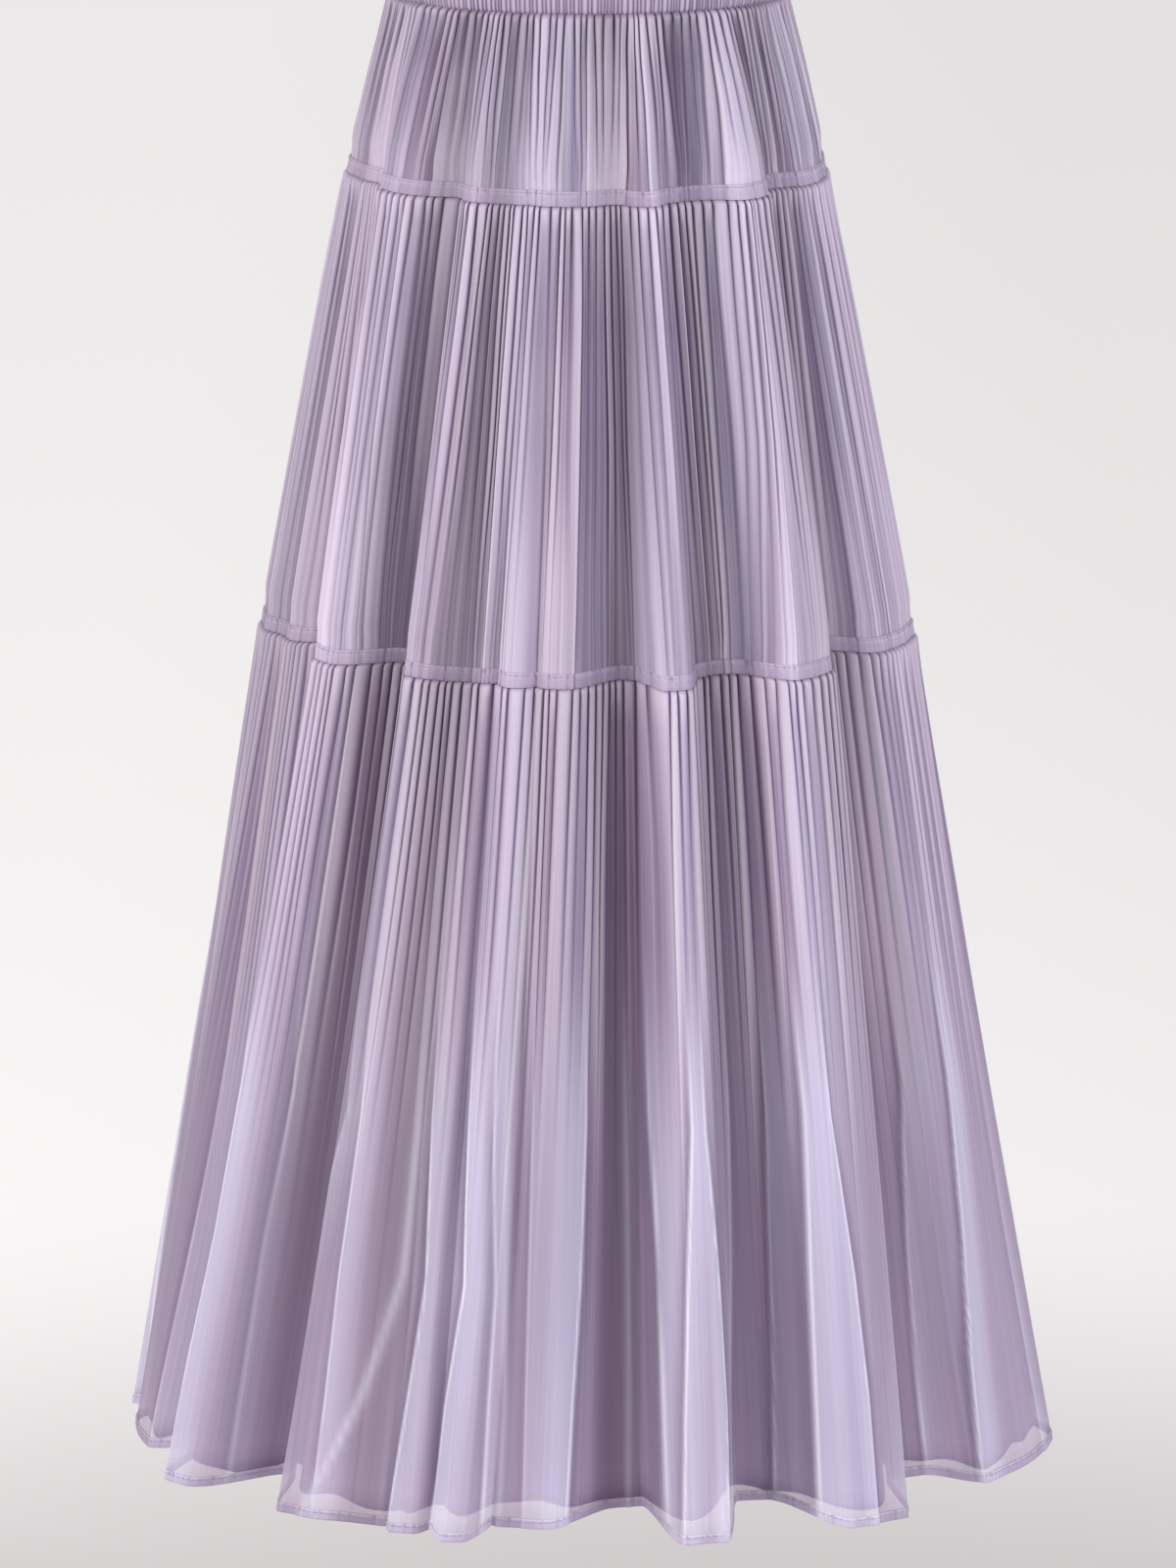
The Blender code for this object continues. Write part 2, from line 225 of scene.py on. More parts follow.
# %% Points of the cloth
def ring_points(turn, drop, out, sag):
    """Points at turns and drops, moved out along the plain ring's own normal."""
    width, depth = ring_size(drop, "half_width"), ring_size(drop, "half_depth")
    across, along = np.sin(np.radians(turn)), -np.cos(np.radians(turn))
    size = np.hypot(across / width, along / depth)
    x = width * across + out * across / width / size
    y = depth * along + out * along / depth / size
    z = -WAISTBAND_HEIGHT / 2 - drop - sag + 0.0 * x
    return np.stack([x, y, z], axis=-1)


hem_front = ring_points(np.zeros(1), np.array([HEM]), 0.0, 0.0)[0]
print("the plain ring of the hem is at", hem_front.round(3), "in front")

# %% [markdown]
# ## From shares to turns
#
# Every panel is half of the skirt. A share from 0 to 1 names a place across it, and this function turns
# the share into a turn at each drop. Where a large fold leans to one side as it falls, the shares beside
# it lean too, so the small pleats run along the fold and not across it, as they do in real cloth. More
# columns are set close to the crisp edges of the folds, because that is where the cloth bends most.


# %% Columns that follow the folds
SIDE = 90.0
SIDE_MARGIN = 4.0


def crisp_edges(facing):
    """(share, first, second, hem) for each crisp fold edge on one half of the skirt."""
    edges = []
    for fold in FOLDS:
        sides = (
            (fold.rise, (fold.left_first, fold.left_second, fold.left_hem)),
            (fold.fall, (fold.right_first, fold.right_second, fold.right_hem)),
        )
        for turning, turns in sides:
            away = degrees_from(turns[1], facing)
            if turning < CRISP and abs(away) < SIDE - SIDE_MARGIN:
                shift = facing + away - turns[1]
                edges.append(((away + SIDE) / (2 * SIDE), *(turn + shift for turn in turns)))
    return sorted(edges)


def share_turns(shares, drops, facing):
    """The turn of each share. There is one row of shares for each drop."""
    edges = crisp_edges(facing)
    known = [0.0, *(edge[0] for edge in edges), 1.0]
    rows = []
    for row, drop in zip(shares, drops):
        turns = [float(along_drop(*edge[1:], drop)) for edge in edges]
        rows.append(np.interp(row, known, [facing - SIDE, *turns, facing + SIDE]))
    return np.array(rows)


print("crisp edges, front and back:", len(crisp_edges(0.0)), len(crisp_edges(180.0)))

# %% [markdown]
# ## Pleats
#
# Gathering pushes the cloth up into pleats that touch each other side by side. Under the seam each pleat
# starts as a small round head, like a fingertip. Lower down it is pushed over to one side. Its one edge
# stands up and catches the light, and it slopes away to the other, which lies in a dark slit. Most of the
# slits fade out on the way down, and the pleats between the few that last flow together into panels.
# A panel too is highest at one edge and falls away to the other.
#
# Widths and heights come from a seeded generator, so no two pleats are alike and every run gives the
# same skirt. A cloth simulation would gather the strips too, but it can't be steered to one photograph,
# and a table of pleats can. The widths of eight neighbours always add up to the same, so that the pleats
# stay spread evenly round the skirt.
#
# In the table of tiers, merged says how far the pleats have become one panel, in the middle of the strip
# and at its foot. The ripple is what still shows of each pleat on its panel, and spread_foot says how
# uneven the widths are at the foot.

# %% The pleats of each tier
Tier = namedtuple(
    "Tier",
    "name top foot pleats height_head height_foot merged merged_foot ripple spread_foot rows seed",
)
TIERS = (
    Tier("tier_1", 0.0, FIRST_SEAM, 80, 0.0038, 0.0032, 0.50, 0.85, 0.24, 0.42, 34, 11),
    Tier("tier_2", FIRST_SEAM, SECOND_SEAM, 100, 0.0040, 0.0032, 0.45, 0.92, 0.30, 0.50, 48, 23),
    Tier("tier_3", SECOND_SEAM, HEM - HEM_HEIGHT, 112, 0.0042, 0.0010, 0.55, 0.75, 0.26, 0.46, 70, 37),
)
GROUP = 8
# How uneven the widths are under the seam, and how the middle of a strip takes after its two ends.
SPREAD_HEAD = 0.26
SPREAD_MIDDLE = 0.7
MIDDLE_FROM_HEAD, MIDDLE_FROM_FOOT = 0.5, 0.7
# The share of the slits that last to the foot. The others fade within these shares of the strip.
LASTING = 0.42
SLIT_FADES, SLIT_DEPTHS = (0.10, 0.55), (0.45, 1.0)
# How far a pleat's edge strays, in widths of a pleat, and where on the strip it strays anew.
WANDER = 0.06
LEVELS_AT = (0.0, 0.2, 0.5, 0.8, 1.0)
# The share of the pleats that are lit on the left, the share that stand high, and how high both kinds are.
LIT_LEFT = 0.68
HIGH = 0.62
HIGH_PLEATS, LOW_PLEATS = (0.70, 1.0), (0.0, 0.26)
# How high a panel is, how much of that it loses towards its far edge, and the same for one pleat.
PANEL_LEVELS, PANEL_FALLS = (0.18, 1.0), (0.30, 0.85)
PLEAT_TILTS, EDGE_SHINES = (0.15, 0.80), (0.3, 1.0)
SMALL_CREASES = 0.10
# Where the columns of the mesh lie across a pleat. They are close at its edges, which stay sharp then.
ACROSS = np.array([0.0, 0.05, 0.11, 0.20, 0.33, 0.5, 0.67, 0.80, 0.89, 0.95])


def pleat_table(tier, facing):
    """The widths of the pleats, which slits last to the foot, and the panels that form between those."""
    rng = np.random.default_rng(tier.seed + int(facing))
    count = tier.pleats
    lean = rng.normal(0.0, 1.0, (2, count))
    middle = MIDDLE_FROM_HEAD * lean[0] + MIDDLE_FROM_FOOT * lean[1]
    lean = np.array([lean[0], middle, lean[1]])
    spread = np.array([SPREAD_HEAD, SPREAD_MIDDLE * tier.spread_foot, tier.spread_foot])[:, None]
    width = np.exp(lean * spread)
    starts = np.arange(0, count, GROUP)
    members = np.minimum(GROUP, count - starts)
    for level in width:
        level *= np.repeat(members / np.add.reduceat(level, starts), members) / count
    lasting = rng.uniform(0, 1, count + 1) < LASTING
    panel = np.cumsum(lasting[:-1])
    panels = panel.max() + 1
    high = rng.uniform(0, 1, count) < HIGH
    return {
        "width": width,
        "lasting": lasting,
        "first": np.searchsorted(panel, panel, side="left"),
        "after": np.searchsorted(panel, panel, side="right"),
        "wander": rng.normal(0.0, WANDER / count, (len(LEVELS_AT), count + 1)),
        "fades": rng.uniform(*SLIT_FADES, count + 1),
        "slit": rng.uniform(*SLIT_DEPTHS, count + 1),
        "own": np.where(high, rng.uniform(*HIGH_PLEATS, count), rng.uniform(*LOW_PLEATS, count)),
        "level": rng.uniform(*PANEL_LEVELS, panels)[panel],
        "cool": (rng.uniform(0, 1, panels)[panel] + rng.uniform(0, 1, count)) / 2,
        "fall": rng.uniform(*PANEL_FALLS, panels)[panel],
        "panel_left": (rng.uniform(0, 1, panels) < LIT_LEFT)[panel],
        "lit_left": rng.uniform(0, 1, count) < LIT_LEFT,
        "tilt": rng.uniform(*PLEAT_TILTS, count),
        "shine": rng.uniform(*EDGE_SHINES, count),
        "crease": rng.normal(0.0, SMALL_CREASES, (2, count, len(ACROSS))),
    }


for tier in TIERS:
    table = pleat_table(tier, 0.0)
    print(tier.name, tier.pleats, "pleats,", int(table["lasting"].sum()), "slits last to the foot")

# %% [markdown]
# ## From the table to columns
#
# The columns of the mesh follow the pleats down the skirt. This function works out, for each column at
# each drop, its share and how far it is raised, from 0 to 1. It also says how deep it lies in a slit, how
# much its edge is lit, and how cool its colour is, which the material shows later as painted shade, a
# painted highlight and a tint. A pleat is round in its head, then opens into a slope, and last merges
# into its panel.


# %% Columns of the pleats
# Where on the strip the heads open, where the pleats merge and where their panels turn smooth.
OPENS_AT, OPENED = (0.0, 0.05, 0.25), (0.0, 0.5, 1.0)
MERGES_OVER = 0.42
LATE_FROM, LATE_OVER = 0.45, 0.4
# The section of a pleat, whose full height is 1.
EDGE_ROUNDING = 0.22
FLATTENED = 0.7
HEAD_LEVEL = 0.92
OWN_SHARE = 0.85
HIGHEST = 1.1
PANEL_LIFT = 0.15
RIPPLE_MEAN, RIPPLE_FADES = 0.7, 0.75
# The slits beside it and the line of light along its edge. Their widths are shares of the pleat.
SLIT_FOOT = 0.75
# The slits are sunk and painted with shade, and the line of light is a painted highlight.
SLIT_POWER = 1.5
LIT_SLIT_WIDTH, LIT_SLIT_OPENED = 0.07, 0.6
FAR_SLIT_WIDTH, FAR_SLIT_OPENED = 0.10, 0.17
LOW_PLEAT_SLIT = 0.25
SLIT_SINKS = 0.60
LIT_LINE_AT, LIT_LINE_WIDTH = 0.12, 0.10


def pleat_edges(table, down):
    """The share of each pleat's left edge, and of the last one's right edge, at each drop."""
    upper, lower = np.clip(2 * down, 0.0, 1.0), np.clip(2 * down - 1, 0.0, 1.0)
    width = mix(mix(table["width"][0], table["width"][1], upper), table["width"][2], lower)
    edges = np.concatenate([np.zeros((len(down), 1)), np.cumsum(width, axis=1)], axis=1)
    spot = np.interp(down[:, 0], LEVELS_AT, np.arange(len(LEVELS_AT)))
    step = np.minimum(spot.astype(int), len(LEVELS_AT) - 2)
    wander = mix(table["wander"][step], table["wander"][step + 1], smooth_step(spot - step)[:, None])
    edges[:, 1:-1] += wander[:, 1:-1]
    return edges


def slits_beside(table, down, opened, from_lit):
    """How deep the slits are at the lit and at the far edge of each pleat, and near each column."""
    ending = np.where(table["lasting"], 1.0, 1 - smooth_step(down / table["fades"]))
    slit = table["slit"] * ending * mix(1.0, SLIT_FOOT, down)
    lit_edge = np.where(table["lit_left"], slit[:, :-1], slit[:, 1:])[..., None]
    far_edge = np.where(table["lit_left"], slit[:, 1:], slit[:, :-1])[..., None]
    far_width = mix(FAR_SLIT_WIDTH, FAR_SLIT_OPENED, opened)
    near_lit = np.exp(-((from_lit / LIT_SLIT_WIDTH) ** SLIT_POWER))
    near_far = np.exp(-(((1 - from_lit) / far_width) ** SLIT_POWER))
    near = mix(1.0, LIT_SLIT_OPENED, opened) * lit_edge * near_lit + far_edge * near_far
    seen = LOW_PLEAT_SLIT + (1 - LOW_PLEAT_SLIT) * table["own"][:, None]
    return lit_edge, np.clip(near, 0.0, 1.0) * mix(1.0, seen, opened)


def pleat_columns(tier, facing, drops):
    """The share, height from 0 to 1, slit, lit edge and coolness of each column at each drop."""
    table = pleat_table(tier, facing)
    down = np.clip((np.asarray(drops) - tier.top) / (tier.foot - tier.top), 0.0, 1.0)[:, None]
    edges = pleat_edges(table, down)
    shares = edges[:, :-1, None] + np.diff(edges, axis=1)[..., None] * ACROSS
    opened = np.interp(down, OPENS_AT, OPENED)[..., None]
    late = smooth_step((down - LATE_FROM) / LATE_OVER)[..., None]
    merging = mix(tier.merged, tier.merged_foot, late) * smooth_step(down / MERGES_OVER)[..., None]

    from_edge = np.minimum(ACROSS, 1 - ACROSS)
    tube = np.sqrt(1 - (1 - 2 * from_edge) ** 2)
    strip = mix(tube, smooth_step(from_edge / EDGE_ROUNDING), FLATTENED)
    from_lit = np.where(table["lit_left"][:, None], ACROSS, 1 - ACROSS)
    # A pleat falls from its lit edge to the far one, and the paint follows it: lighter at the lit edge, as
    # painted light.
    slope = 1 - table["tilt"][:, None] * from_lit
    own = mix(HEAD_LEVEL, table["own"][:, None], OWN_SHARE * opened) * mix(tube, strip * slope, opened)

    left, right = edges[:, table["first"]], edges[:, table["after"]]
    place = (shares - left[..., None]) / (right - left)[..., None]
    place = np.where(table["panel_left"][:, None], place, 1 - place)
    ripple = tier.ripple * (1 - RIPPLE_FADES * late) * (strip - RIPPLE_MEAN)
    panel = table["level"][:, None] * (1 - table["fall"][:, None] * place) + ripple

    crease = mix(table["crease"][0], table["crease"][1], down[..., None]) * strip * opened
    lit_edge, near = slits_beside(table, down, opened, from_lit)
    raised = np.clip(mix(own, panel + PANEL_LIFT, merging) + crease, 0.0, HIGHEST)
    raised = raised * (1 - SLIT_SINKS * near)
    # The lit line along a pleat's edge is a painted highlight.
    line = np.exp(-(((from_lit - LIT_LINE_AT) / LIT_LINE_WIDTH) ** 2))
    lit = line * lit_edge * (table["shine"] * table["own"])[:, None] * opened
    cool = np.broadcast_to(table["cool"][:, None], raised.shape)
    columns = [values.reshape(len(down), -1) for values in (shares, raised, near, lit, cool)]
    ends = [np.ones((len(down), 1)), *(values[:, -1:] for values in columns[1:])]
    return [np.hstack(pair) for pair in zip(columns, ends)]


print("columns across the second tier:", pleat_columns(TIERS[1], 0.0, [FIRST_SEAM])[0].shape[1])

# %% [markdown]
# ## Main creases
#
# Between the largest folds and the pleats there are softer crests and hollows, some ten pleats wide. On
# the front they are given one by one, and on the back there are similar ones. A crest stands out a little
# and its cloth is painted paler, as painted light, and in a hollow it is painted darker, as painted shade.
# Sculpting could give such forms as well, but each row of this table can still be moved when the folds
# are.

# %% Main creases
Crease = namedtuple("Crease", "turn_first turn_second turn_hem spread rise_top rise_second rise_hem")
CREASES = (
    Crease(-62.0, -62.0, -68.0, 6.0, 0.4, 0.3, 0.3),
    Crease(-50.0, -50.0, -59.0, 6.0, 0.5, 0.9, 0.9),
    Crease(-36.0, -38.5, -45.0, 4.5, -0.6, -1.0, -0.7),
    Crease(-27.5, -31.0, -34.0, 2.8, 0.5, 0.6, 0.6),
    Crease(-21.0, -23.6, -28.5, 3.8, -0.5, -1.1, -0.7),
    Crease(-13.0, -13.5, -17.0, 4.0, 0.5, 0.8, 0.9),
    Crease(-4.4, -4.4, -5.0, 3.0, 0.2, 0.3, 0.3),
    Crease(5.5, 4.4, 4.4, 4.2, -0.6, -0.8, -0.6),
    Crease(14.5, 13.3, 13.3, 3.2, 0.6, 1.0, 1.0),
    Crease(26.0, 22.6, 22.6, 4.2, -0.5, -0.9, -0.8),
    Crease(38.5, 34.5, 32.0, 4.6, 0.5, 0.9, 1.1),
    Crease(54.0, 50.5, 43.5, 4.2, -0.3, -0.9, -0.9),
    Crease(67.0, 66.0, 66.0, 8.0, 0.4, 0.7, 0.8),
    Crease(97.0, 98.0, 96.0, 5.0, -0.4, -0.8, -0.7),
    Crease(112.0, 112.0, 113.0, 5.0, 0.4, 0.8, 0.9),
    Crease(127.0, 125.0, 126.5, 4.0, -0.5, -0.9, -0.8),
    Crease(139.0, 138.0, 138.0, 5.5, 0.5, 0.8, 0.8),
    Crease(153.0, 152.0, 152.5, 3.8, -0.5, -0.9, -0.9),
    Crease(163.0, 162.0, 162.0, 3.5, 0.4, 0.8, 0.9),
    Crease(172.0, 172.0, 171.5, 3.0, -0.4, -0.8, -0.6),
    Crease(186.0, 185.0, 187.0, 6.0, 0.5, 0.9, 0.9),
    Crease(201.0, 200.0, 200.0, 3.6, -0.6, -0.9, -0.9),
    Crease(211.0, 211.0, 210.0, 3.8, 0.4, 0.7, 0.9),
    Crease(220.0, 220.0, 219.0, 3.4, -0.4, -0.9, -0.7),
    Crease(232.0, 232.0, 232.0, 5.0, 0.5, 0.8, 0.8),
    Crease(246.0, 245.0, 246.0, 3.6, -0.5, -0.8, -0.9),
    Crease(255.0, 255.0, 256.0, 4.0, 0.4, 0.7, 0.8),
    Crease(264.0, 264.0, 264.0, 3.0, -0.3, -0.7, -0.6),
)
CREST_HEIGHT = 0.0026
HOLLOW_DEPTH = 0.0012
TONE_FROM, TONE_TO = -1.1, 1.2


def crease_tone(turns, drops):
    """About -1 in the middle of a hollow and 1 on top of a crest."""
    tone = np.zeros_like(turns)
    for crease in CREASES:
        centre = along_drop(crease.turn_first, crease.turn_second, crease.turn_hem, drops)
        away = degrees_from(turns, centre)
        below = np.maximum(drops - SECOND_SEAM, 0.0) / (HEM - SECOND_SEAM)
        strength = mix(crease.rise_top, crease.rise_second, np.clip(drops / SECOND_SEAM, 0, 1))
        strength = strength + (crease.rise_hem - crease.rise_second) * below
        tone = tone + strength * np.exp(-((away / crease.spread) ** 2))
    return np.clip(tone, TONE_FROM, TONE_TO)


print(len(CREASES), "creases, the highest", CREST_HEIGHT * TONE_TO, "m")

# %% [markdown]
# ## Folded edges
#
# Low down on the last strip the pleats have opened out, and the cloth lies in smooth panels. Where one
# panel is folded over the next, its edge is crisp, catches the light in a thin line, and throws a little
# shade on the cloth beside it. A panel lies to the right of its edge when the side is 1 and to the left
# when it is -1. A side of 0 is a plain narrow crease, such as the one that crosses the left front. Each
# edge is given at four drops, because it bends on its way down.

# %% Folded edges
EDGES_AT = (0.68, 0.78, 0.86, 0.94)
FoldedEdge = namedtuple("FoldedEdge", "turn_knee turn_calf turn_shin turn_hem side rise reach")
FOLDED_EDGES = (
    FoldedEdge(-72.0, -73.0, -74.0, -75.0, 1, 0.0012, 8.0),
    FoldedEdge(-56.5, -58.0, -60.0, -61.5, 1, 0.0022, 8.0),
    FoldedEdge(-48.0, -50.0, -51.0, -52.0, 1, 0.0008, 5.0),
    FoldedEdge(-35.3, -39.8, -42.5, -42.0, 1, 0.0012, 4.0),
    FoldedEdge(-32.8, -34.1, -34.5, -35.0, 1, 0.0014, 6.0),
    FoldedEdge(-23.8, -24.6, -29.3, -36.0, 0, 0.0016, 2.0),
    FoldedEdge(-21.8, -21.3, -22.9, -24.6, 1, 0.0024, 5.0),
    FoldedEdge(-16.5, -15.8, -17.9, -19.2, 1, 0.0030, 5.0),
    FoldedEdge(-12.8, -12.1, -12.6, -13.0, 1, 0.0014, 3.0),
    FoldedEdge(-11.1, -11.0, -10.8, -11.2, 0, 0.0014, 1.0),
    FoldedEdge(-7.9, -8.0, -8.1, -8.2, 1, 0.0009, 6.0),
    FoldedEdge(0.0, -0.7, -1.7, -2.4, -1, 0.0028, 7.0),
    FoldedEdge(5.8, 5.8, 5.7, 5.4, 0, 0.0008, 1.0),
    FoldedEdge(8.7, 9.3, 9.2, 9.2, 1, 0.0020, 5.0),
    FoldedEdge(13.5, 12.2, 11.4, 10.8, 1, 0.0024, 4.5),
    FoldedEdge(15.8, 17.0, 17.4, 16.7, -1, 0.0028, 3.0),
    FoldedEdge(21.8, 21.0, 20.0, 18.8, -1, 0.0010, 4.0),
    FoldedEdge(26.9, 26.2, 25.6, 24.8, 1, 0.0014, 6.0),
    FoldedEdge(30.6, 29.8, 29.3, 28.8, 1, 0.0030, 6.0),
    FoldedEdge(34.0, 35.6, 36.1, 35.8, -1, 0.0028, 3.0),
    FoldedEdge(46.0, 44.4, 43.0, 41.8, -1, 0.0016, 5.0),
    FoldedEdge(54.0, 52.0, 51.0, 50.4, 1, 0.0014, 6.0),
    FoldedEdge(61.0, 59.0, 57.0, 56.2, 1, 0.0028, 7.0),
    FoldedEdge(73.0, 73.0, 74.0, 75.0, 1, 0.0010, 6.0),
    FoldedEdge(104.5, 104.2, 104.0, 103.6, 1, 0.0024, 7.0),
    FoldedEdge(112.0, 112.5, 113.0, 113.5, 0, 0.0010, 1.5),
    FoldedEdge(119.0, 119.5, 120.5, 122.0, -1, 0.0022, 6.0),
    FoldedEdge(130.0, 129.6, 129.2, 128.8, 1, 0.0018, 6.0),
    FoldedEdge(137.0, 136.5, 134.5, 131.5, 0, 0.0014, 2.0),
    FoldedEdge(141.0, 141.0, 140.8, 140.5, 1, 0.0026, 5.0),
    FoldedEdge(147.5, 147.6, 147.4, 147.0, -1, 0.0026, 4.0),
    FoldedEdge(157.5, 157.3, 157.2, 157.0, 1, 0.0022, 5.0),
    FoldedEdge(163.0, 163.0, 163.2, 163.3, 1, 0.0024, 4.0),
    FoldedEdge(168.0, 168.3, 168.4, 168.5, -1, 0.0018, 4.0),
    FoldedEdge(177.5, 177.0, 176.6, 176.0, 1, 0.0026, 6.0),
    FoldedEdge(183.0, 182.8, 182.5, 182.4, 1, 0.0016, 5.0),
    FoldedEdge(190.0, 190.8, 191.3, 192.0, -1, 0.0024, 6.0),
    FoldedEdge(206.0, 205.5, 205.0, 204.0, 1, 0.0020, 5.0),
    FoldedEdge(215.5, 215.4, 215.3, 215.0, -1, 0.0026, 5.0),
    FoldedEdge(225.5, 225.2, 224.8, 224.0, 1, 0.0024, 6.0),
    FoldedEdge(232.0, 232.5, 234.0, 237.0, 0, 0.0014, 2.0),
    FoldedEdge(240.5, 240.8, 241.3, 242.0, -1, 0.0026, 5.0),
    FoldedEdge(250.0, 249.8, 249.5, 249.0, 1, 0.0020, 6.0),
    FoldedEdge(258.5, 259.2, 260.0, 261.0, -1, 0.0020, 5.0),
)
# Drops, in metres, where the edges begin and over which they grow.
EDGES_START = 0.56
EDGES_GROW = 0.16
# In degrees: the widths of the step at an edge and of its rim of light, how far in the rim lies, and the
# widths of a plain crease and of the shade beside an edge.
CRISP_WIDTH = 0.4
RIM_WIDTH = 0.13
RIM_INSIDE = 0.3
PLAIN_WIDTH = 0.50
SHADE_WIDTH = 1.6
# A plain crease shines less. A panel counts as doubled, and an edge as sharp, from these rises on.
PLAIN_SHINE = 0.6
PANEL_RISE = 0.003
SHARP_RISE = 0.0022


def folded_edges(turns, drops):
    """How far the panels stand out, where cloth is doubled, and each edge's bright rim and its shade."""
    out, panel, rim, shade = (np.zeros_like(turns) for _ in range(4))
    started = smooth_step((drops - EDGES_START) / EDGES_GROW)
    for edge in FOLDED_EDGES:
        centre = np.interp(drops, EDGES_AT, edge[:4])
        away = degrees_from(turns, centre)
        if edge.side:
            away = away * edge.side
            cover = smooth_step(away / CRISP_WIDTH + 0.5) * (1 - smooth_step(away / edge.reach))
            # The rim is a painted highlight, and the dark beside a crisp edge a painted shadow.
            line = np.exp(-(((away - RIM_INSIDE) / RIM_WIDTH) ** 2))
            dark = smooth_step(away / SHADE_WIDTH + 1) * smooth_step(0.5 - away / CRISP_WIDTH)
        else:
            cover = np.exp(-((2 * away / edge.reach) ** 2))
            line = PLAIN_SHINE * np.exp(-((away / PLAIN_WIDTH) ** 2))
            dark = 0.0 * away
        out = out + edge.rise * started * cover
        panel = np.maximum(panel, started * cover * edge.rise / PANEL_RISE)
        sharp = started * np.minimum(edge.rise / SHARP_RISE, 1.0)
        rim = np.maximum(rim, sharp * line)
        shade = np.maximum(shade, sharp * dark)
    return out, panel, rim, shade


print(len(FOLDED_EDGES), "folded edges, from a drop of", EDGES_START, "m down")

# %% [markdown]
# ## Making a sheet
#
# Each sheet starts as a flat grid and every point is then carried to its place. The grid also gets a
# map in real metres, which the weave is drawn on, and painted values. Those are single numbers, one at
# each point, that the material reads: raised on a pleat, cool in colour, deep in a slit, lit on a rim,
# light or dark in tone, and dense or see-through. The slit is painted shade and the rim a painted
# highlight, and raised, cool and tone are partly painted light and shade. A picture could hold them too,
# but numbers on the points follow every pleat exactly and need no picture.


# %% Sheets
def new_object(name, mesh):
    piece = bpy.data.objects.new(name, mesh)
    bpy.context.scene.collection.objects.link(piece)
    return piece


def make_sheet(name, points, material, painted=None):
    """Makes one open sheet from rows of points, with its map in metres and its painted values."""
    rows, columns = points.shape[0] - 1, points.shape[1] - 1
    sheet = bmesh.new()
    bmesh.ops.create_grid(sheet, x_segments=columns, y_segments=rows, size=0.5)
    mesh = bpy.data.meshes.new(name)
    sheet.to_mesh(mesh)
    sheet.free()
    flat = np.empty(len(mesh.vertices) * 3)
    mesh.vertices.foreach_get("co", flat)
    flat = flat.reshape(-1, 3)
    column = np.rint((flat[:, 0] + 0.5) * columns).astype(int)
    row = np.rint((flat[:, 1] + 0.5) * rows).astype(int)
    mesh.vertices.foreach_set("co", points[row, column].astype(np.float32).ravel())
    for title, values in (painted or {}).items():
        layer = mesh.attributes.new(title, "FLOAT", "POINT")
        layer.data.foreach_set("value", values[row, column].astype(np.float32))
    steps_across = np.linalg.norm(np.diff(points[len(points) // 2], axis=0), axis=1)
    steps_down = np.linalg.norm(np.diff(points[:, columns // 2], axis=0), axis=1)
    across = np.concatenate([[0.0], np.cumsum(steps_across)])
    down = np.concatenate([[0.0], np.cumsum(steps_down)])
    corner = np.empty(len(mesh.loops), dtype=np.int32)
    mesh.loops.foreach_get("vertex_index", corner)
    cloth_map = mesh.uv_layers.new(name="cloth")
    pairs = np.stack([across[column[corner]], down[row[corner]]], axis=-1)
    cloth_map.data.foreach_set("uv", pairs.astype(np.float32).ravel())
    mesh.polygons.foreach_set("use_smooth", np.ones(len(mesh.polygons), dtype=bool))
    mesh.materials.append(material)
    mesh.update()
    piece = new_object(name, mesh)
    face_outwards(piece)
    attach(piece, "root")
    return piece


def face_outwards(piece):
    """Turns a sheet's faces so that its right side is on the outside of the skirt."""
    mesh = piece.data
    normals = np.empty(len(mesh.polygons) * 3)
    mesh.polygons.foreach_get("normal", normals)
    centres = np.empty(len(mesh.polygons) * 3)
    mesh.polygons.foreach_get("center", centres)
    areas = np.empty(len(mesh.polygons))
    mesh.polygons.foreach_get("area", areas)
    outward = (normals.reshape(-1, 3) * centres.reshape(-1, 3))[:, :2].sum(axis=1)
    if (outward * areas).sum() < 0:
        mesh.flip_normals()


def mesh_area(piece):
    areas = np.empty(len(piece.data.polygons))
    piece.data.polygons.foreach_get("area", areas)
    return float(areas.sum())


# %% [markdown]
# ## Colours and nodes
#
# Colours are given as the screen shows them and are turned into linear light by one function, because
# the renderer adds up linear light. One more function adds a node to a material. It sets the node's
# fields and inputs, or links them, so that each material reads like a short list of its parts.


# %% Colour and node helpers
def linear(colour):
    """The linear colour of a screen colour such as C9BEDB."""
    parts = [int(colour[i : i + 2], 16) / 255 for i in (0, 2, 4)]
    return (*(p / 12.92 if p <= 0.04045 else ((p + 0.055) / 1.055) ** 2.4 for p in parts), 1.0)


def add_node(tree, kind, settings=None, **inputs):
    """Adds a node, sets its fields, and links or sets its inputs.

    A double underscore in an input's name is a space, and n6 is the input with that number.
    """
    node = tree.nodes.new(kind)
    for field, value in (settings or {}).items():
        setattr(node, field, value)
    for title, value in inputs.items():
        name = title.replace("__", " ")
        socket = node.inputs[int(name[1:])] if name[1:].isdigit() else node.inputs[name]
        if isinstance(value, bpy.types.NodeSocket):
            tree.links.new(value, socket)
        else:
            socket.default_value = value
    return node


def empty_material(name):
    material = bpy.data.materials.new(name)
    material.use_nodes = True
    material.node_tree.nodes.clear()
    return material, material.node_tree


# A Mix node for colours takes its factor and its two colours at inputs 0, 6 and 7.
COLOURS = {"data_type": "RGBA"}
MIXED = 2
print("lavender in linear light:", [round(part, 3) for part in linear("C9BEDB")])
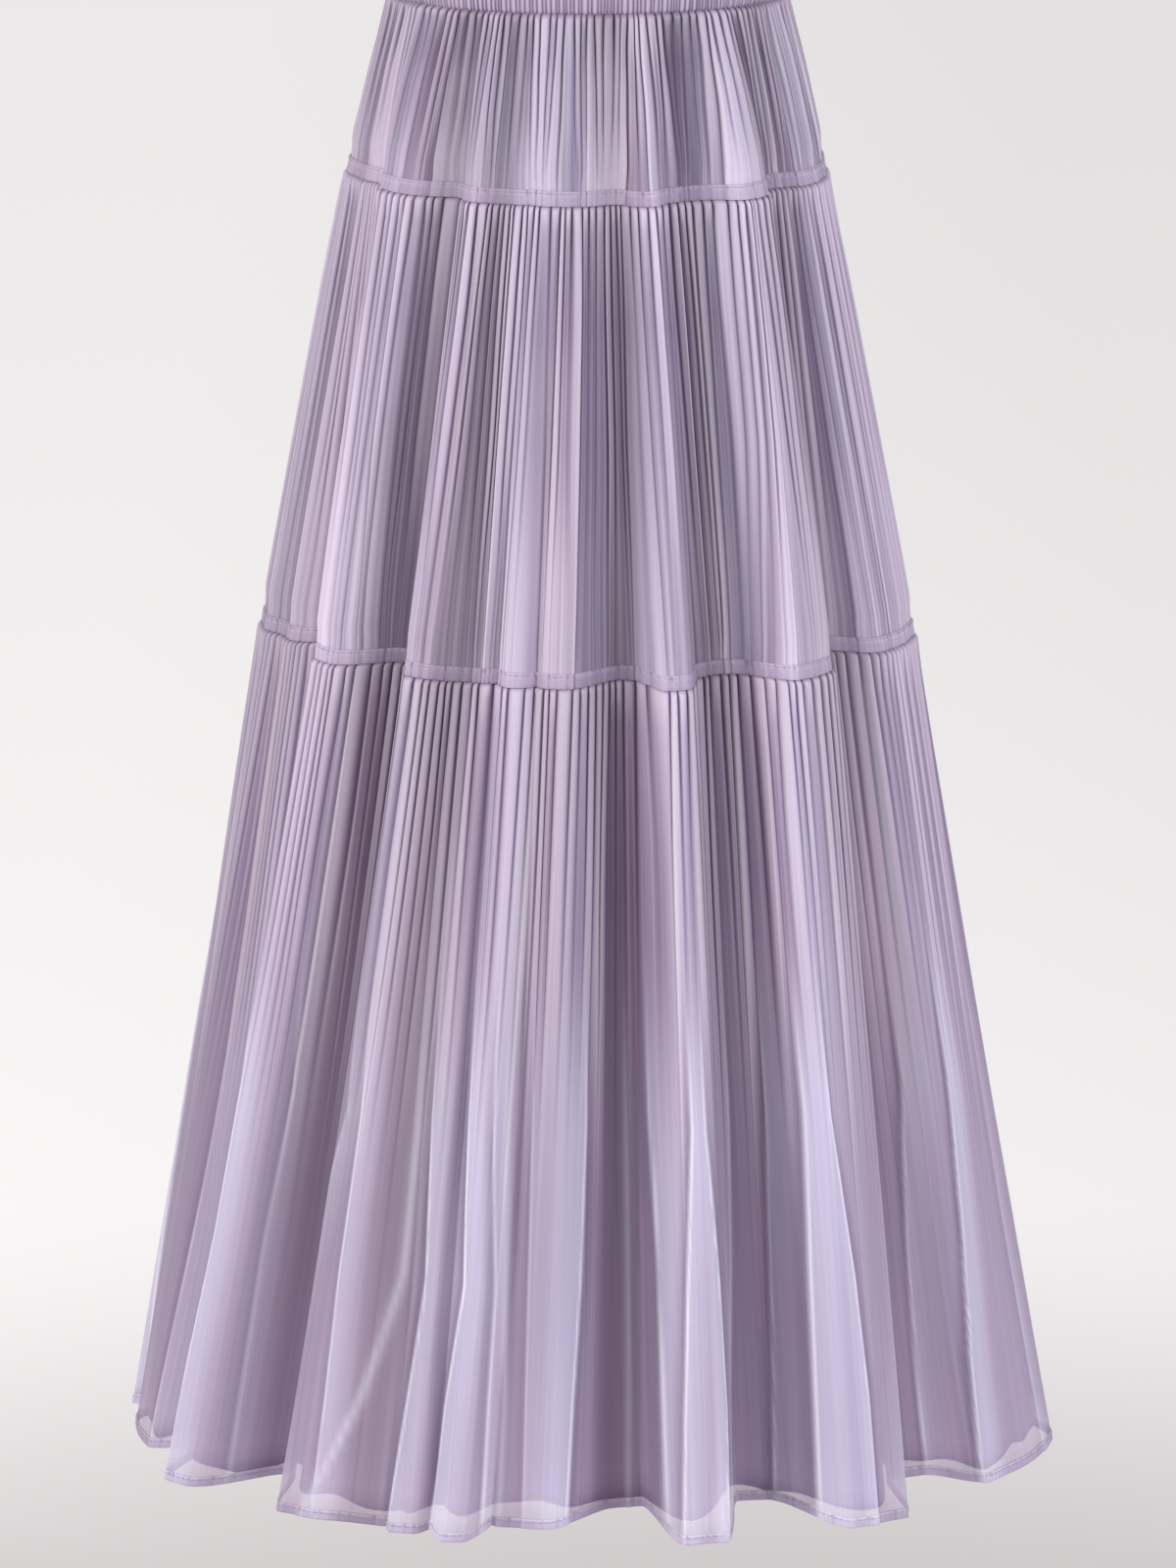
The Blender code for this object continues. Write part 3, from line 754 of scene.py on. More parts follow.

# %% [markdown]
# ## Chiffon
#
# Chiffon is a thin crepe, woven from hard-twisted yarns. It is half see-through, it lets light through
# from behind, and its fibres catch a soft sheen at the edges of folds. Its streaks come from a noise that
# is stretched along the map of the cloth. The ground colour turns into the ridge colour where a pleat is
# raised, which is partly painted light, then into the cool colour, into the slit colour as painted shade
# and into the lit colour as a painted highlight, by their painted values. The painted tone then scales it,
# with crests paler and hollows darker as painted light and shade. The first two tiers are gathered so
# close that hardly anything shows through, so the same cloth is opaque there, which also renders faster.


# %% Chiffon
STREAK_SCALE = (600.0, 5.0, 1.0)
STREAK_DEPTH = 0.0004
STREAK_BUMP = 0.30
COOL_SHARE = 0.45
RIM_SHARE = 0.82
DARKEST, LIGHTEST = 0.57, 1.22
MULTIPLY = {"operation": "MULTIPLY"}


def painted_value(tree, title):
    return add_node(tree, "ShaderNodeAttribute", {"attribute_name": title}).outputs["Fac"]


def chiffon_material(name, colours, glow=0.0, clear=None):
    """Chiffon. Painted values say where it is raised, cool, in a slit, lit, pale or dense.

    The glow is the share of light that comes through from behind. A clear pair gives the share that can
    be seen through, first where the cloth is thin and then where it is dense.
    """
    material, tree = empty_material(name)
    ground, ridge, cool, slit, lit = (linear(colour) for colour in colours)
    place = add_node(tree, "ShaderNodeUVMap", {"uv_map": "cloth"})
    stretched = add_node(tree, "ShaderNodeMapping", Vector=place.outputs["UV"], Scale=STREAK_SCALE)
    streaks = add_node(tree, "ShaderNodeTexNoise", Vector=stretched.outputs[0], Scale=1.0, Detail=1.0)
    bump = add_node(
        tree,
        "ShaderNodeBump",
        Strength=STREAK_BUMP,
        Distance=STREAK_DEPTH,
        Height=streaks.outputs[0],
    )
    cooler = add_node(tree, "ShaderNodeMath", MULTIPLY, n0=painted_value(tree, "cool"), n1=COOL_SHARE)
    rim = add_node(tree, "ShaderNodeMath", MULTIPLY, n0=painted_value(tree, "rim"), n1=RIM_SHARE)
    # The ridge colour is partly painted light, the slit colour painted shade and the lit colour a painted
    # highlight.
    colour = ground
    for factor, over in (
        (painted_value(tree, "raised"), ridge),
        (cooler.outputs[0], cool),
        (painted_value(tree, "slit"), slit),
        (rim.outputs[0], lit),
    ):
        colour = add_node(tree, "ShaderNodeMix", COLOURS, n0=factor, n6=colour, n7=over).outputs[MIXED]
    faint = add_node(
        tree, "ShaderNodeMapRange", Value=streaks.outputs[0], n1=0.3, n2=0.7, n3=0.95, n4=1.04
    )
    # The painted tone: crests paler and hollows darker, as painted light and shade.
    tone = add_node(
        tree,
        "ShaderNodeMapRange",
        Value=painted_value(tree, "tone"),
        n1=0.0,
        n2=1.0,
        n3=DARKEST,
        n4=LIGHTEST,
    )
    both = add_node(tree, "ShaderNodeMath", MULTIPLY, n0=faint.outputs[0], n1=tone.outputs[0])
    streaked = add_node(
        tree, "ShaderNodeVectorMath", {"operation": "SCALE"}, n0=colour, Scale=both.outputs[0]
    )
    # Rough, with a soft sheen: twisted yarns scatter the light, and a fold's edge turns pale.
    surface = add_node(
        tree,
        "ShaderNodeBsdfPrincipled",
        Base__Color=streaked.outputs[0],
        Roughness=0.62,
        Sheen__Weight=0.20,
        Sheen__Roughness=0.45,
        IOR=1.35,
        Normal=bump.outputs[0],
    )
    if clear:
        through = add_node(
            tree, "ShaderNodeBsdfTranslucent", Color=streaked.outputs[0], Normal=bump.outputs[0]
        )
        woven = add_node(
            tree, "ShaderNodeMixShader", Fac=glow, n1=surface.outputs[0], n2=through.outputs[0]
        )
        dense = add_node(
            tree,
            "ShaderNodeMath",
            {"operation": "ADD"},
            n0=painted_value(tree, "dense"),
            n1=rim.outputs[0],
        )
        where_thin, where_dense = clear
        gaps = add_node(
            tree,
            "ShaderNodeMapRange",
            Value=dense.outputs[0],
            n1=0.0,
            n2=1.0,
            n3=where_thin,
            n4=where_dense,
        )
        gap = add_node(tree, "ShaderNodeBsdfTransparent")
        surface = add_node(
            tree,
            "ShaderNodeMixShader",
            Fac=gaps.outputs[0],
            n1=woven.outputs[0],
            n2=gap.outputs[0],
        )
    add_node(tree, "ShaderNodeOutputMaterial", Surface=surface.outputs[0])
    return material


# The colours of the ground, the ridges, the cool places, the slits and the lit edges.
# Slits are painted shade, lit edges a painted highlight, and ridges and cool places partly painted light.
CLOSE_COLOURS = ("5D4569", "DFD0E6", "C3C1DC", "513A5B", "F6F3FF")
SHEER_COLOURS = ("8C7198", "F0E0F5", "D0D2F0", "664B72", "FAFAFF")
BAND_COLOURS = ("957EA1", "CDBED5", "BAB7D0", "4E3857", "E8DFF0")
HEM_COLOURS = ("AA97B6", "E4D9EC", "CFCDE4", "745A80", "F8F3FD")
gathered_chiffon = chiffon_material("lavender chiffon, gathered close", CLOSE_COLOURS)
chiffon = chiffon_material("lavender chiffon", SHEER_COLOURS, 0.20, clear=(0.50, 0.06))
doubled_chiffon = chiffon_material("chiffon, folded double", BAND_COLOURS)
hem_chiffon = chiffon_material("chiffon, hemmed", HEM_COLOURS, 0.18, clear=(0.12, 0.05))
print("chiffon:", [material.name for material in bpy.data.materials])

# %% [markdown]
# ## Satin and thread
#
# The lining is an opaque satin, smoother than the chiffon and a little darker, so the skirt looks deep
# where it shows through. Its fine yarns are a noise stretched along the cloth. Polyester thread has the
# same look in a paler colour.


# %% Satin and thread
YARN_SCALE = (900.0, 60.0, 1.0)
YARN_DEPTH = 0.0002


def satin_material(name, colour, shade):
    """Opaque and half smooth, with a weak sheen, as tightly woven filament yarn is."""
    material, tree = empty_material(name)
    place = add_node(tree, "ShaderNodeUVMap", {"uv_map": "cloth"})
    warp = add_node(tree, "ShaderNodeMapping", Vector=place.outputs["UV"], Scale=YARN_SCALE)
    yarn = add_node(tree, "ShaderNodeTexNoise", Vector=warp.outputs[0], Scale=1.0, Detail=2.0)
    tone = add_node(
        tree,
        "ShaderNodeMix",
        COLOURS,
        n0=yarn.outputs[0],
        n6=linear(shade),
        n7=linear(colour),
    )
    bump = add_node(
        tree, "ShaderNodeBump", Strength=0.2, Distance=YARN_DEPTH, Height=yarn.outputs[0]
    )
    cloth = add_node(
        tree,
        "ShaderNodeBsdfPrincipled",
        Base__Color=tone.outputs[MIXED],
        Roughness=0.5,
        Sheen__Weight=0.2,
        Sheen__Roughness=0.4,
        Normal=bump.outputs[0],
    )
    add_node(tree, "ShaderNodeOutputMaterial", Surface=cloth.outputs[0])
    return material


satin = satin_material("lining satin", "9C8BA8", "87769A")
thread = satin_material("polyester thread", "BBACC8", "A596B4")
print("lining and thread:", satin.name, "and", thread.name)

# %% [markdown]
# ## The three tiers
#
# Rows of points lie close together under each seam, where the round heads of the pleats are, and
# further apart below. The top of a strip starts a little above its seam, behind the band of the strip
# above, as a seam allowance does. Along the foot of the first two strips the pleats are pressed flat by
# the stitching, so they fade there. Lower on the last strip they open out into smooth panels.


# %% Rows and heights of the pleats
# The first rows, as drops below the seam. The others lie further and further apart.
HEAD_ROWS = np.array([-0.0012, 0.0, 0.0005, 0.0011, 0.0019, 0.0029, 0.0045, 0.0075])
ROWS_SPREAD = 1.15
# The heads start low and a little behind the seam.
HEAD_HEIGHT = 0.0035
HEAD_START = 0.1
HEAD_INSET = 0.0010
HEIGHT_POWER = 0.7
# Pleats are pressed to this share of their height above a band.
PRESSED_LEVEL, PRESSED_OVER = 0.30, 0.016
# Between these drops the last strip turns smooth and its pleats lose most of their height.
SMOOTH_FROM, SMOOTH_OVER = 0.52, 0.24
SMOOTHED = 0.72
# The creases begin below the waistband, and the pleats end at the side seams.
SOFT_OVER = 0.05
SIDE_SEAM = 0.004


def tier_drops(tier):
    spare = tier.foot - tier.top - HEAD_ROWS[-1]
    rest = np.linspace(0, 1, tier.rows - len(HEAD_ROWS) + 2)[1:] ** ROWS_SPREAD
    return tier.top + np.concatenate([HEAD_ROWS, HEAD_ROWS[-1] + spare * rest])


def pressed_flat(tier, drops):
    """Pleats lie nearly flat where the band at a strip's foot is stitched. The last strip has none."""
    if tier.name == "tier_3":
        return np.ones_like(drops)
    above_band = (tier.foot - SEAM_BAND_HEIGHT - drops) / PRESSED_OVER
    return mix(PRESSED_LEVEL, 1.0, smooth_step(above_band))


for tier in TIERS:
    print(tier.name, "has", len(tier_drops(tier)), "rows of points")

# %% [markdown]
# ## What is painted on a tier
#
# The painted values are worked out from the same numbers as the shape, so light and dark lie exactly on
# the pleats. Between two pleats light bounces to and fro and is lost. Few bounces keep the render quick,
# so a part of that dark is painted. Towards the hem the cloth is paler, and below the lining's edge it is
# bare and lets the most light through.


# %% Painting a tier
# How much paler or darker the cloth is at these drops.
PALER_AT = (0.0, 0.112, 0.405, 0.6, 0.8, 0.942)
PALER_BY = (-0.19, -0.08, -0.15, -0.08, 0.13, 0.32)
# Where the lining ends, and how far above that the chiffon begins to look bare.
LINING_END = 0.937
BARE_ABOVE, BARE_OVER = 0.013, 0.008
# The line of shade under a seam, and the dark of the slits, which is strongest near the seam.
UNDER_SEAM, UNDER_SEAM_SHADE = 0.0012, 0.35
SLIT_PAINT = 0.80
SLIT_HEAD, SLIT_FADE, SLIT_LEAST = 1.3, 2.0, 0.55
# How much of the pleats is gone on smooth cloth, and how deep a fold is when its top is palest.
FINE_FADES = 0.88
FOLD_FULL, FOLD_GROWS = 0.012, 0.03
SHEER_OVER = 1.2


def paint_tier(parts, inside, below, down):
    """The painted values of a tier. The parts are what its shape was made from.

    Each number in the sums below is the share that one form has in a painted value.
    """
    raised, slit, lit, cool, tone, panel, rim, shade, large, smooth = parts
    fine = 1 - FINE_FADES * smooth
    fold = np.clip(large / (FOLD_FULL + FOLD_GROWS * inside[:, None]), 0.0, 1.0)
    bare = smooth_step((inside - LINING_END + BARE_ABOVE) / BARE_OVER)[:, None]
    sheer = smooth_step(down * SHEER_OVER)[:, None]
    paler = np.interp(inside, PALER_AT, PALER_BY)[:, None]
    under = UNDER_SEAM_SHADE * np.exp(-((below / UNDER_SEAM) ** 2))[:, None]
    # The slits, the shade beside folded edges and the line under a seam are painted shade.
    depth = slit * SLIT_PAINT * np.clip(SLIT_HEAD - SLIT_FADE * down, SLIT_LEAST, 1)[:, None]
    # Raised pleats, fold tops, doubled panels and smooth cloth are painted paler, partly as painted light.
    on_ridges = 0.90 * smooth_step(raised) * fine + 0.26 * smooth + 0.20 * fold + 0.75 * panel
    # Painted highlights on the lit edges of pleats and the rims of folded edges.
    on_rims = 1.5 * lit * fine + 0.75 * rim * (1 - 0.4 * bare)
    # Painted light and shade: crests paler and hollows darker.
    whole = 0.5 + 0.45 * np.clip(tone, -1, 1) + paler + 0.10 * panel - 0.10 * bare
    layers = 1.0 - 0.55 * sheer + (0.3 * raised + 0.4 * slit) * fine - 0.35 * bare
    return {
        "raised": np.clip(on_ridges - 0.3 * bare, 0, 1),
        "rim": np.clip(on_rims, 0, 1),
        "tone": np.clip(whole, 0, 1),
        "slit": np.clip(depth * fine + 0.5 * shade + under, 0, 1),
        # The cool tint varies at random per pleat and panel, and follows the painted light of crests and
        # panels.
        "cool": np.clip(0.8 * cool - 0.15 + 0.2 * tone + 1.1 * panel, 0.0, 1.3),
        "dense": np.clip(layers, 0, 1),
    }


print("the cloth is bare below a drop of", round(LINING_END - BARE_ABOVE + BARE_OVER, 3), "m")

# %% [markdown]
# ## Points of a tier
#
# All the forms come together here, from the largest to the smallest: the ring, the large folds, the soft
# creases, the folded edges and the pleats. Each is a distance outwards, so they are simply added. Adding
# them in one place keeps every layer that lies on a tier, such as its bands and stitches, on its surface.


# %% Tiers
def tier_points(tier, facing, drops, lifts=0.0, fullness=1.0):
    """Points on the outer side of a tier, moved out by the lifts, and its painted values."""
    drops = np.asarray(drops)
    shares, raised, slit, lit, cool = pleat_columns(tier, facing, drops)
    inside = np.maximum(drops, 0.0)
    deep = inside[:, None]
    turns = share_turns(shares, inside, facing)
    below = np.maximum(drops - tier.top, 0.0)
    down = np.clip(below / (tier.foot - tier.top), 0.0, 1.0)

    head = np.sqrt(1.0 - (1.0 - np.clip(below / HEAD_HEIGHT, 0.0, 1.0)) ** 2)
    height = mix(tier.height_head, tier.height_foot, down ** HEIGHT_POWER) * mix(HEAD_START, 1.0, head)
    height = height * pressed_flat(tier, drops) * fullness
    ends = smooth_step(np.minimum(shares, 1 - shares) / SIDE_SEAM)
    smooth = smooth_step((inside - SMOOTH_FROM) / SMOOTH_OVER)[:, None]
    relief = raised * height[:, None] * ends * (1 - SMOOTHED * smooth)

    large = folds_out(turns, deep)
    tone = crease_tone(turns, deep)
    soft = np.where(tone > 0, CREST_HEIGHT, HOLLOW_DEPTH) * tone * smooth_step(deep / SOFT_OVER)
    over, panel, rim, shade = folded_edges(turns, deep)
    out = relief + HEAD_INSET * (head - 1)[:, None] + soft + over
    points = ring_points(turns, drops[:, None], large + out + lifts, fold_sag(turns, deep))
    parts = (raised, slit, lit, cool, tone, panel, rim, shade, large, smooth)
    return points, paint_tier(parts, inside, below, down)


for tier in TIERS:
    for side, facing in (("front", 0.0), ("back", 180.0)):
        points, painted = tier_points(tier, facing, tier_drops(tier))
        cloth = chiffon if tier.name == "tier_3" else gathered_chiffon
        piece = make_sheet(f"{tier.name}_{side}_chiffon", points, cloth, painted)
        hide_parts(f"{tier.name}_{side}")
        print(piece.name, "has", points.shape[:2], "points and", round(mesh_area(piece), 3), "m2")

# %% [markdown]
# ## Bands and hems
#
# The seam allowance of each strip is turned up and stitched flat, which shows as a narrow band where the
# chiffon is several layers thick. Its lower edge stands a little proud of the pleats below and throws
# a thin line of shade on them. The hem is a narrow double turning. These pieces are made from the points
# of the strip that they lie on, moved out by half a millimetre, so they follow each pleat. The stitching
# draws them up into uneven little puckers.

# %% Bands and hems
# A band lies this far out, its edges are rounded, and the pleats show through it.
BAND_LIFT = 0.0005
BAND_RELIEF = 1.6
EDGE = 0.00015
# How deep the puckers are, and how their number, distances, depths and widths vary.
PUCKER = 0.0008
HEM_PUCKER = 0.0004
PUCKERS_PER_PLEAT = 2.2
PUCKER_STEPS = (0.3, 1.7)
PUCKER_DEPTHS, PUCKER_POWER = (0.1, 1.0), 1.6
PUCKER_WIDTHS = (0.10, 0.34)
HEM_OVERLAP = 0.0004
LIT_ROWS = (2, 3)


def puckers(tier, facing, shares):
    """From 0 to 1, how far the stitching draws the band up into small creases. They are uneven."""
    rng = np.random.default_rng(tier.seed + int(facing) + 5)
    count = int(tier.pleats * PUCKERS_PER_PLEAT)
    places = np.cumsum(rng.uniform(*PUCKER_STEPS, count))
    places = places / places[-1]
    depth = rng.uniform(*PUCKER_DEPTHS, count) ** PUCKER_POWER
    width = rng.uniform(*PUCKER_WIDTHS, count) / count
    pulled = np.zeros_like(shares)
    for place, deep, wide in zip(places, depth, width):
        pulled = np.maximum(pulled, deep * np.exp(-(((shares - place) / wide) ** 2)))
    return pulled


def strip_points(tier, facing):
    """The band at a tier's foot, or its hem, in rows from its top edge to its foot."""
    last = tier.name == "tier_3"
    top, foot = (tier.foot - HEM_OVERLAP, HEM) if last else (tier.foot - SEAM_BAND_HEIGHT, tier.foot)
    # The drop of each row, how far it is moved out, and how much of the puckers it takes.
    profile = [
        (top, -0.0002, 0.0),
        (top, BAND_LIFT - EDGE, 0.6),
        (top + EDGE, BAND_LIFT, 1.0),
        (mix(top, foot, 0.22), BAND_LIFT, 1.0),
        (mix(top, foot, 0.45), BAND_LIFT, 0.5),
        (mix(top, foot, 0.75), BAND_LIFT, 0.6),
        (foot - EDGE, BAND_LIFT, 1.0),
        (foot, BAND_LIFT - EDGE, 0.8),
        (foot, -0.0006, 0.0),
    ]
    drops, lifts, drawn = (np.array(column) for column in zip(*profile))
    shares = pleat_columns(tier, facing, drops)[0]
    pulled = puckers(tier, facing, shares) * drawn[:, None]
    lifts = lifts[:, None] - (HEM_PUCKER if last else PUCKER) * pulled
    points, painted = tier_points(tier, facing, drops, lifts, 1.0 if last else BAND_RELIEF)
    upper = np.isin(np.arange(len(drops)), LIT_ROWS)[:, None]
    painted["raised"] = np.clip(0.7 * painted["raised"] + (-0.10 if last else 0.16), 0, 1)
    # Puckers are painted darker, as painted shade, and the band's upper rows get a painted highlight.
    painted["slit"] = np.clip(0.55 * pulled ** 1.5 + 0.15 * painted["slit"], 0, 1)
    painted["rim"] = 0.3 * painted["rim"] + 0.3 * (1 - pulled) * upper
    painted["dense"] = np.ones_like(pulled)
    return points, painted


for tier in TIERS:
    for side, facing in (("front", 0.0), ("back", 180.0)):
        last = tier.name == "tier_3"
        node = f"hem_{side}" if last else f"{tier.name}_seam_band_{side}"
        points, painted = strip_points(tier, facing)
        piece = make_sheet(f"{node}_cloth", points, hem_chiffon if last else doubled_chiffon, painted)
        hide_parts(node)
        print(piece.name, "has", points.shape[:2], "points")

# %% [markdown]
# ## Stitching
#
# One row of topstitching holds each band and the hem. From a metre away the thread shows as short raised
# dashes, so each stitch is a small bar laid on the cloth. An array along a curve could set them too, but
# bars that are placed one by one from the points of the cloth lie exactly on it.


# %% Stitching
STITCH_LENGTH = 0.0030
STITCH_GAP = 0.0013
STITCH_WIDTH = 0.00036
STITCH_INSET = 0.0014
STITCH_LIFT = 0.0009
# Every third column is enough for a smooth line of stitches.
EVERY = 3


def marks_along(row, length, gap):
    """Both ends of each mark, when marks of one length are set one after another along a row."""
    steps = np.linalg.norm(np.diff(row, axis=0), axis=1)
    reached = np.concatenate([[0.0], np.cumsum(steps)])
    ends = np.arange(length + gap, reached[-1], length + gap)
    starts, stops = (
        np.stack([np.interp(at, reached, row[:, axis]) for axis in range(3)], axis=1)
        for at in (ends - length, ends)
    )
    return zip(starts, stops)


stitching = bmesh.new()
for tier in TIERS:
    last = tier.name == "tier_3"
    top = tier.foot if last else tier.foot - SEAM_BAND_HEIGHT
    for facing in (0.0, 180.0):
        line = [top + STITCH_INSET]
        row = tier_points(tier, facing, line, STITCH_LIFT, 1.0 if last else BAND_RELIEF)[0][0]
        for start, end in marks_along(row[::EVERY], STITCH_LENGTH, STITCH_GAP):
            start, end = Vector(start), Vector(end)
            way = end - start
            turned = way.to_track_quat("X", "Z").to_matrix().to_4x4()
            size = Matrix.Diagonal((way.length, STITCH_WIDTH, STITCH_WIDTH, 1.0))
            place = Matrix.Translation((start + end) / 2) @ turned @ size
            bmesh.ops.create_cube(stitching, size=1.0, matrix=place)
mesh = bpy.data.meshes.new("stitching")
stitching.to_mesh(mesh)
stitching.free()
mesh.materials.append(thread)
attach(new_object("stitching", mesh), "root")
print("stitches:", len(mesh.polygons) // 6)

# %% [markdown]
# ## The lining
#
# The lining is a plain A-line cut, so it has no pleats. It follows the large folds from inside, a little
# narrower and softer, and ends above the hem, where its uneven edge shows through the chiffon. More
# columns lie close to the crisp edges, where it bends most.


# %% Lining
# The lining's folds are this many degrees narrower at each edge, and this share of the height.
LINING_INSET = 1.3
LINING_FULLNESS = 0.85
# The height, number round the skirt and start of each wave of its lower edge.
LINING_WAVES = ((0.0034, 13.0, 0.4), (0.0022, 29.0, 2.1), (0.0008, 53.0, 4.0))
WAVES_POWER = 6
LINING_SHORTER = 0.0036
# How far inside the plain rings it lies, at the waist and from there on.
EASE_TOP, EASE, EASE_OVER = 0.0024, 0.0042, 0.02
LINING_COLUMNS, LINING_ROWS = 180, 56
BESIDE_EDGES = np.linspace(-0.016, 0.016, 9)


def lining_points(facing, shares, drops):
    """Points on the outer side of the lining. Its lower edge rises and falls a little."""
    turns = share_turns(np.broadcast_to(shares, (len(drops), len(shares))), drops, facing)
    uneven = sum(size * np.sin(waves * np.radians(turns) + start) for size, waves, start in LINING_WAVES)
    down = (drops / LINING_END)[:, None]
    deep = np.maximum(drops[:, None] + uneven * down ** WAVES_POWER - LINING_SHORTER * down, 0.0)
    large = folds_out(turns, deep, inset=LINING_INSET, height=LINING_FULLNESS)
    ease = mix(EASE_TOP, EASE, smooth_step(deep / EASE_OVER))
    sag = FOLD_SAG * folds_out(turns, deep, softening=SAG_SOFTENING)
    return ring_points(turns, deep, large - ease, sag)


for side, facing in (("front", 0.0), ("back", 180.0)):
    near = [edge[0] + BESIDE_EDGES for edge in crisp_edges(facing)]
    shares = np.concatenate([np.linspace(0.0, 1.0, LINING_COLUMNS), *near])
    shares = np.sort(np.clip(shares, 0.0, 1.0))
    points = lining_points(facing, shares, np.linspace(0.0, LINING_END, LINING_ROWS))
    piece = make_sheet(f"lining_{side}_satin", points, satin)
    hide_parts(f"lining_{side}")
    print(piece.name, round(mesh_area(piece), 3), "m2")

# %% [markdown]
# ## The waistband
#
# Elastic inside the casing shrinks it to the size of the waist, so its chiffon stands in fine crinkles.
# It is a flattened tube with rounded upper and lower edges, and its section is drawn once and carried
# round the waist. A wave modifier could crinkle it, but evenly. Here the crinkles lie at uneven distances
# and sway a little from row to row, as they do where elastic is stretched by hand while it is sewn in.


# %% Waistband
CRINKLES = 140
CRINKLE_STEPS = (0.6, 1.4)
CRINKLE_HEIGHT, CRINKLE_DEPTH = 0.0011, 0.0006
# How far a crinkle strays sideways, as a share of the half, and its waves along and up the waistband.
SWAY, SWAY_WAVES, SWAY_LEAN = 0.00105, 43.96, 90.0
WAIST_COLUMNS = 900
INNER_FACE = -0.0022
# The section of the casing: the drop below its top edge, and the distance out of the ring.
CASING = (
    (0.0000, -0.0024), (0.0000, -0.0012), (0.0006, -0.0003), (0.002, 0.0004), (0.006, 0.0010),
    (0.012, 0.0013), (0.018, 0.0014), (0.024, 0.0012), (0.029, 0.0009), (0.0325, 0.0004),
    (0.0342, -0.0003), (0.035, -0.0012), (0.035, -0.0024), (0.030, -0.0030), (0.018, -0.0032),
    (0.005, -0.0030), (0.0000, -0.0024),
)


def from_crease(shares, places):
    """How far each share is from the nearest line between two crinkles, in crinkle widths."""
    return np.abs(shares[:, None] - places[None, :]).min(axis=1) * CRINKLES


for side, facing in (("front", 0.0), ("back", 180.0)):
    rng = np.random.default_rng(71 + int(facing))
    shares = np.linspace(0.0, 1.0, WAIST_COLUMNS)
    turns = facing - SIDE + 2 * SIDE * shares
    places = np.cumsum(rng.uniform(*CRINKLE_STEPS, CRINKLES))
    places = places / places[-1]
    rows = []
    for below, out in CASING:
        sway = SWAY * np.sin(SWAY_WAVES * shares + SWAY_LEAN * below)
        crinkle = CRINKLE_HEIGHT * np.sqrt(np.clip(2 * from_crease(shares + sway, places), 0, 1))
        outer = out > INNER_FACE
        row = ring_points(turns, np.zeros_like(turns), out + outer * (crinkle - CRINKLE_DEPTH), 0.0)
        row[:, 2] = WAISTBAND_HEIGHT / 2 - below
        rows.append(row)
    points = np.array(rows)
    even = np.ones(points.shape[:2])
    away = from_crease(shares, places) * even
    # The crinkles' tops are painted paler and the lines between them darker, as painted light and shade.
    painted = {
        "raised": 0.2 + 0.65 * np.clip(2 * away, 0, 1),
        "slit": 0.65 * (1.0 - np.clip(3 * away, 0, 1)),
        "cool": 0.3 * even,
        "rim": 0.0 * even,
        "tone": 0.5 * even,
        "dense": even,
    }
    piece = make_sheet(f"waistband_{side}_shirred", points, doubled_chiffon, painted)
    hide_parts(f"waistband_{side}")
    print(piece.name, "has", CRINKLES, "crinkles and", round(mesh_area(piece), 3), "m2")

# %% [markdown]

# %% [markdown]
# ## Floor
#
# The skirt hangs over a plain pale floor. The floor glows a little by itself, less close to the skirt and
# a touch more to the left. That gives the even, pale ground of a catalogue picture with soft shade under
# the skirt. Strong lamps could give it too, but they would bleach the cloth.

# %% Floor
FLOOR_SIZE = 60.0
FLOOR_LEVEL = -1.30
SHADE_FROM, SHADE_TO = 0.5, 1.8
GLOW_NEAR, GLOW_FAR = 0.29, 0.66
LEFT, RIGHT = -0.5, 0.6
GLOW_LEFT, GLOW_RIGHT = 0.02, -0.05
floor_mesh = bmesh.new()
bmesh.ops.create_grid(floor_mesh, x_segments=1, y_segments=1, size=FLOOR_SIZE / 2)
bmesh.ops.translate(floor_mesh, verts=floor_mesh.verts, vec=(0.0, 0.0, FLOOR_LEVEL))
mesh = bpy.data.meshes.new("floor")
floor_mesh.to_mesh(mesh)
floor_mesh.free()
floor = new_object("floor", mesh)
paint, tree = empty_material("pale matte floor")
place = add_node(tree, "ShaderNodeTexCoord").outputs["Object"]
level = add_node(tree, "ShaderNodeVectorMath", MULTIPLY, n0=place, n1=(1.0, 1.0, 0.0))
distance = add_node(tree, "ShaderNodeVectorMath", {"operation": "LENGTH"}, n0=level.outputs[0])
# Weaker glow close to the skirt is a painted shadow, and a touch more glow to the left is painted light.
paler = add_node(
    tree,
    "ShaderNodeMapRange",
    {"interpolation_type": "SMOOTHSTEP"},
    Value=distance.outputs["Value"],
    n1=SHADE_FROM,
    n2=SHADE_TO,
    n3=GLOW_NEAR,
    n4=GLOW_FAR,
)
axes = add_node(tree, "ShaderNodeSeparateXYZ", n0=place)
aside = add_node(
    tree,
    "ShaderNodeMapRange",
    Value=axes.outputs["X"],
    n1=LEFT,
    n2=RIGHT,
    n3=GLOW_LEFT,
    n4=GLOW_RIGHT,
)
glow = add_node(tree, "ShaderNodeMath", {"operation": "ADD"}, n0=paler.outputs[0], n1=aside.outputs[0])
# Quite rough, as a painted studio floor is, so that no lamp shows in it.
matte = add_node(
    tree,
    "ShaderNodeBsdfPrincipled",
    Base__Color=linear("B5B0AF"),
    Roughness=0.9,
    Emission__Color=linear("FCFAFB"),
    Emission__Strength=glow.outputs[0],
)
add_node(tree, "ShaderNodeOutputMaterial", Surface=matte.outputs[0])
paint.cycles.emission_sampling = "NONE"
mesh.materials.append(paint)
print("floor:", FLOOR_SIZE, "m wide, at a height of", FLOOR_LEVEL, "m")

# %% [markdown]
# ## Light
#
# One large soft lamp stands at the upper left and a wider, weaker one at the right, and pale light comes
# from all round. A low lamp from the side brings out pleats best, because each then has a lit and a
# shaded side.


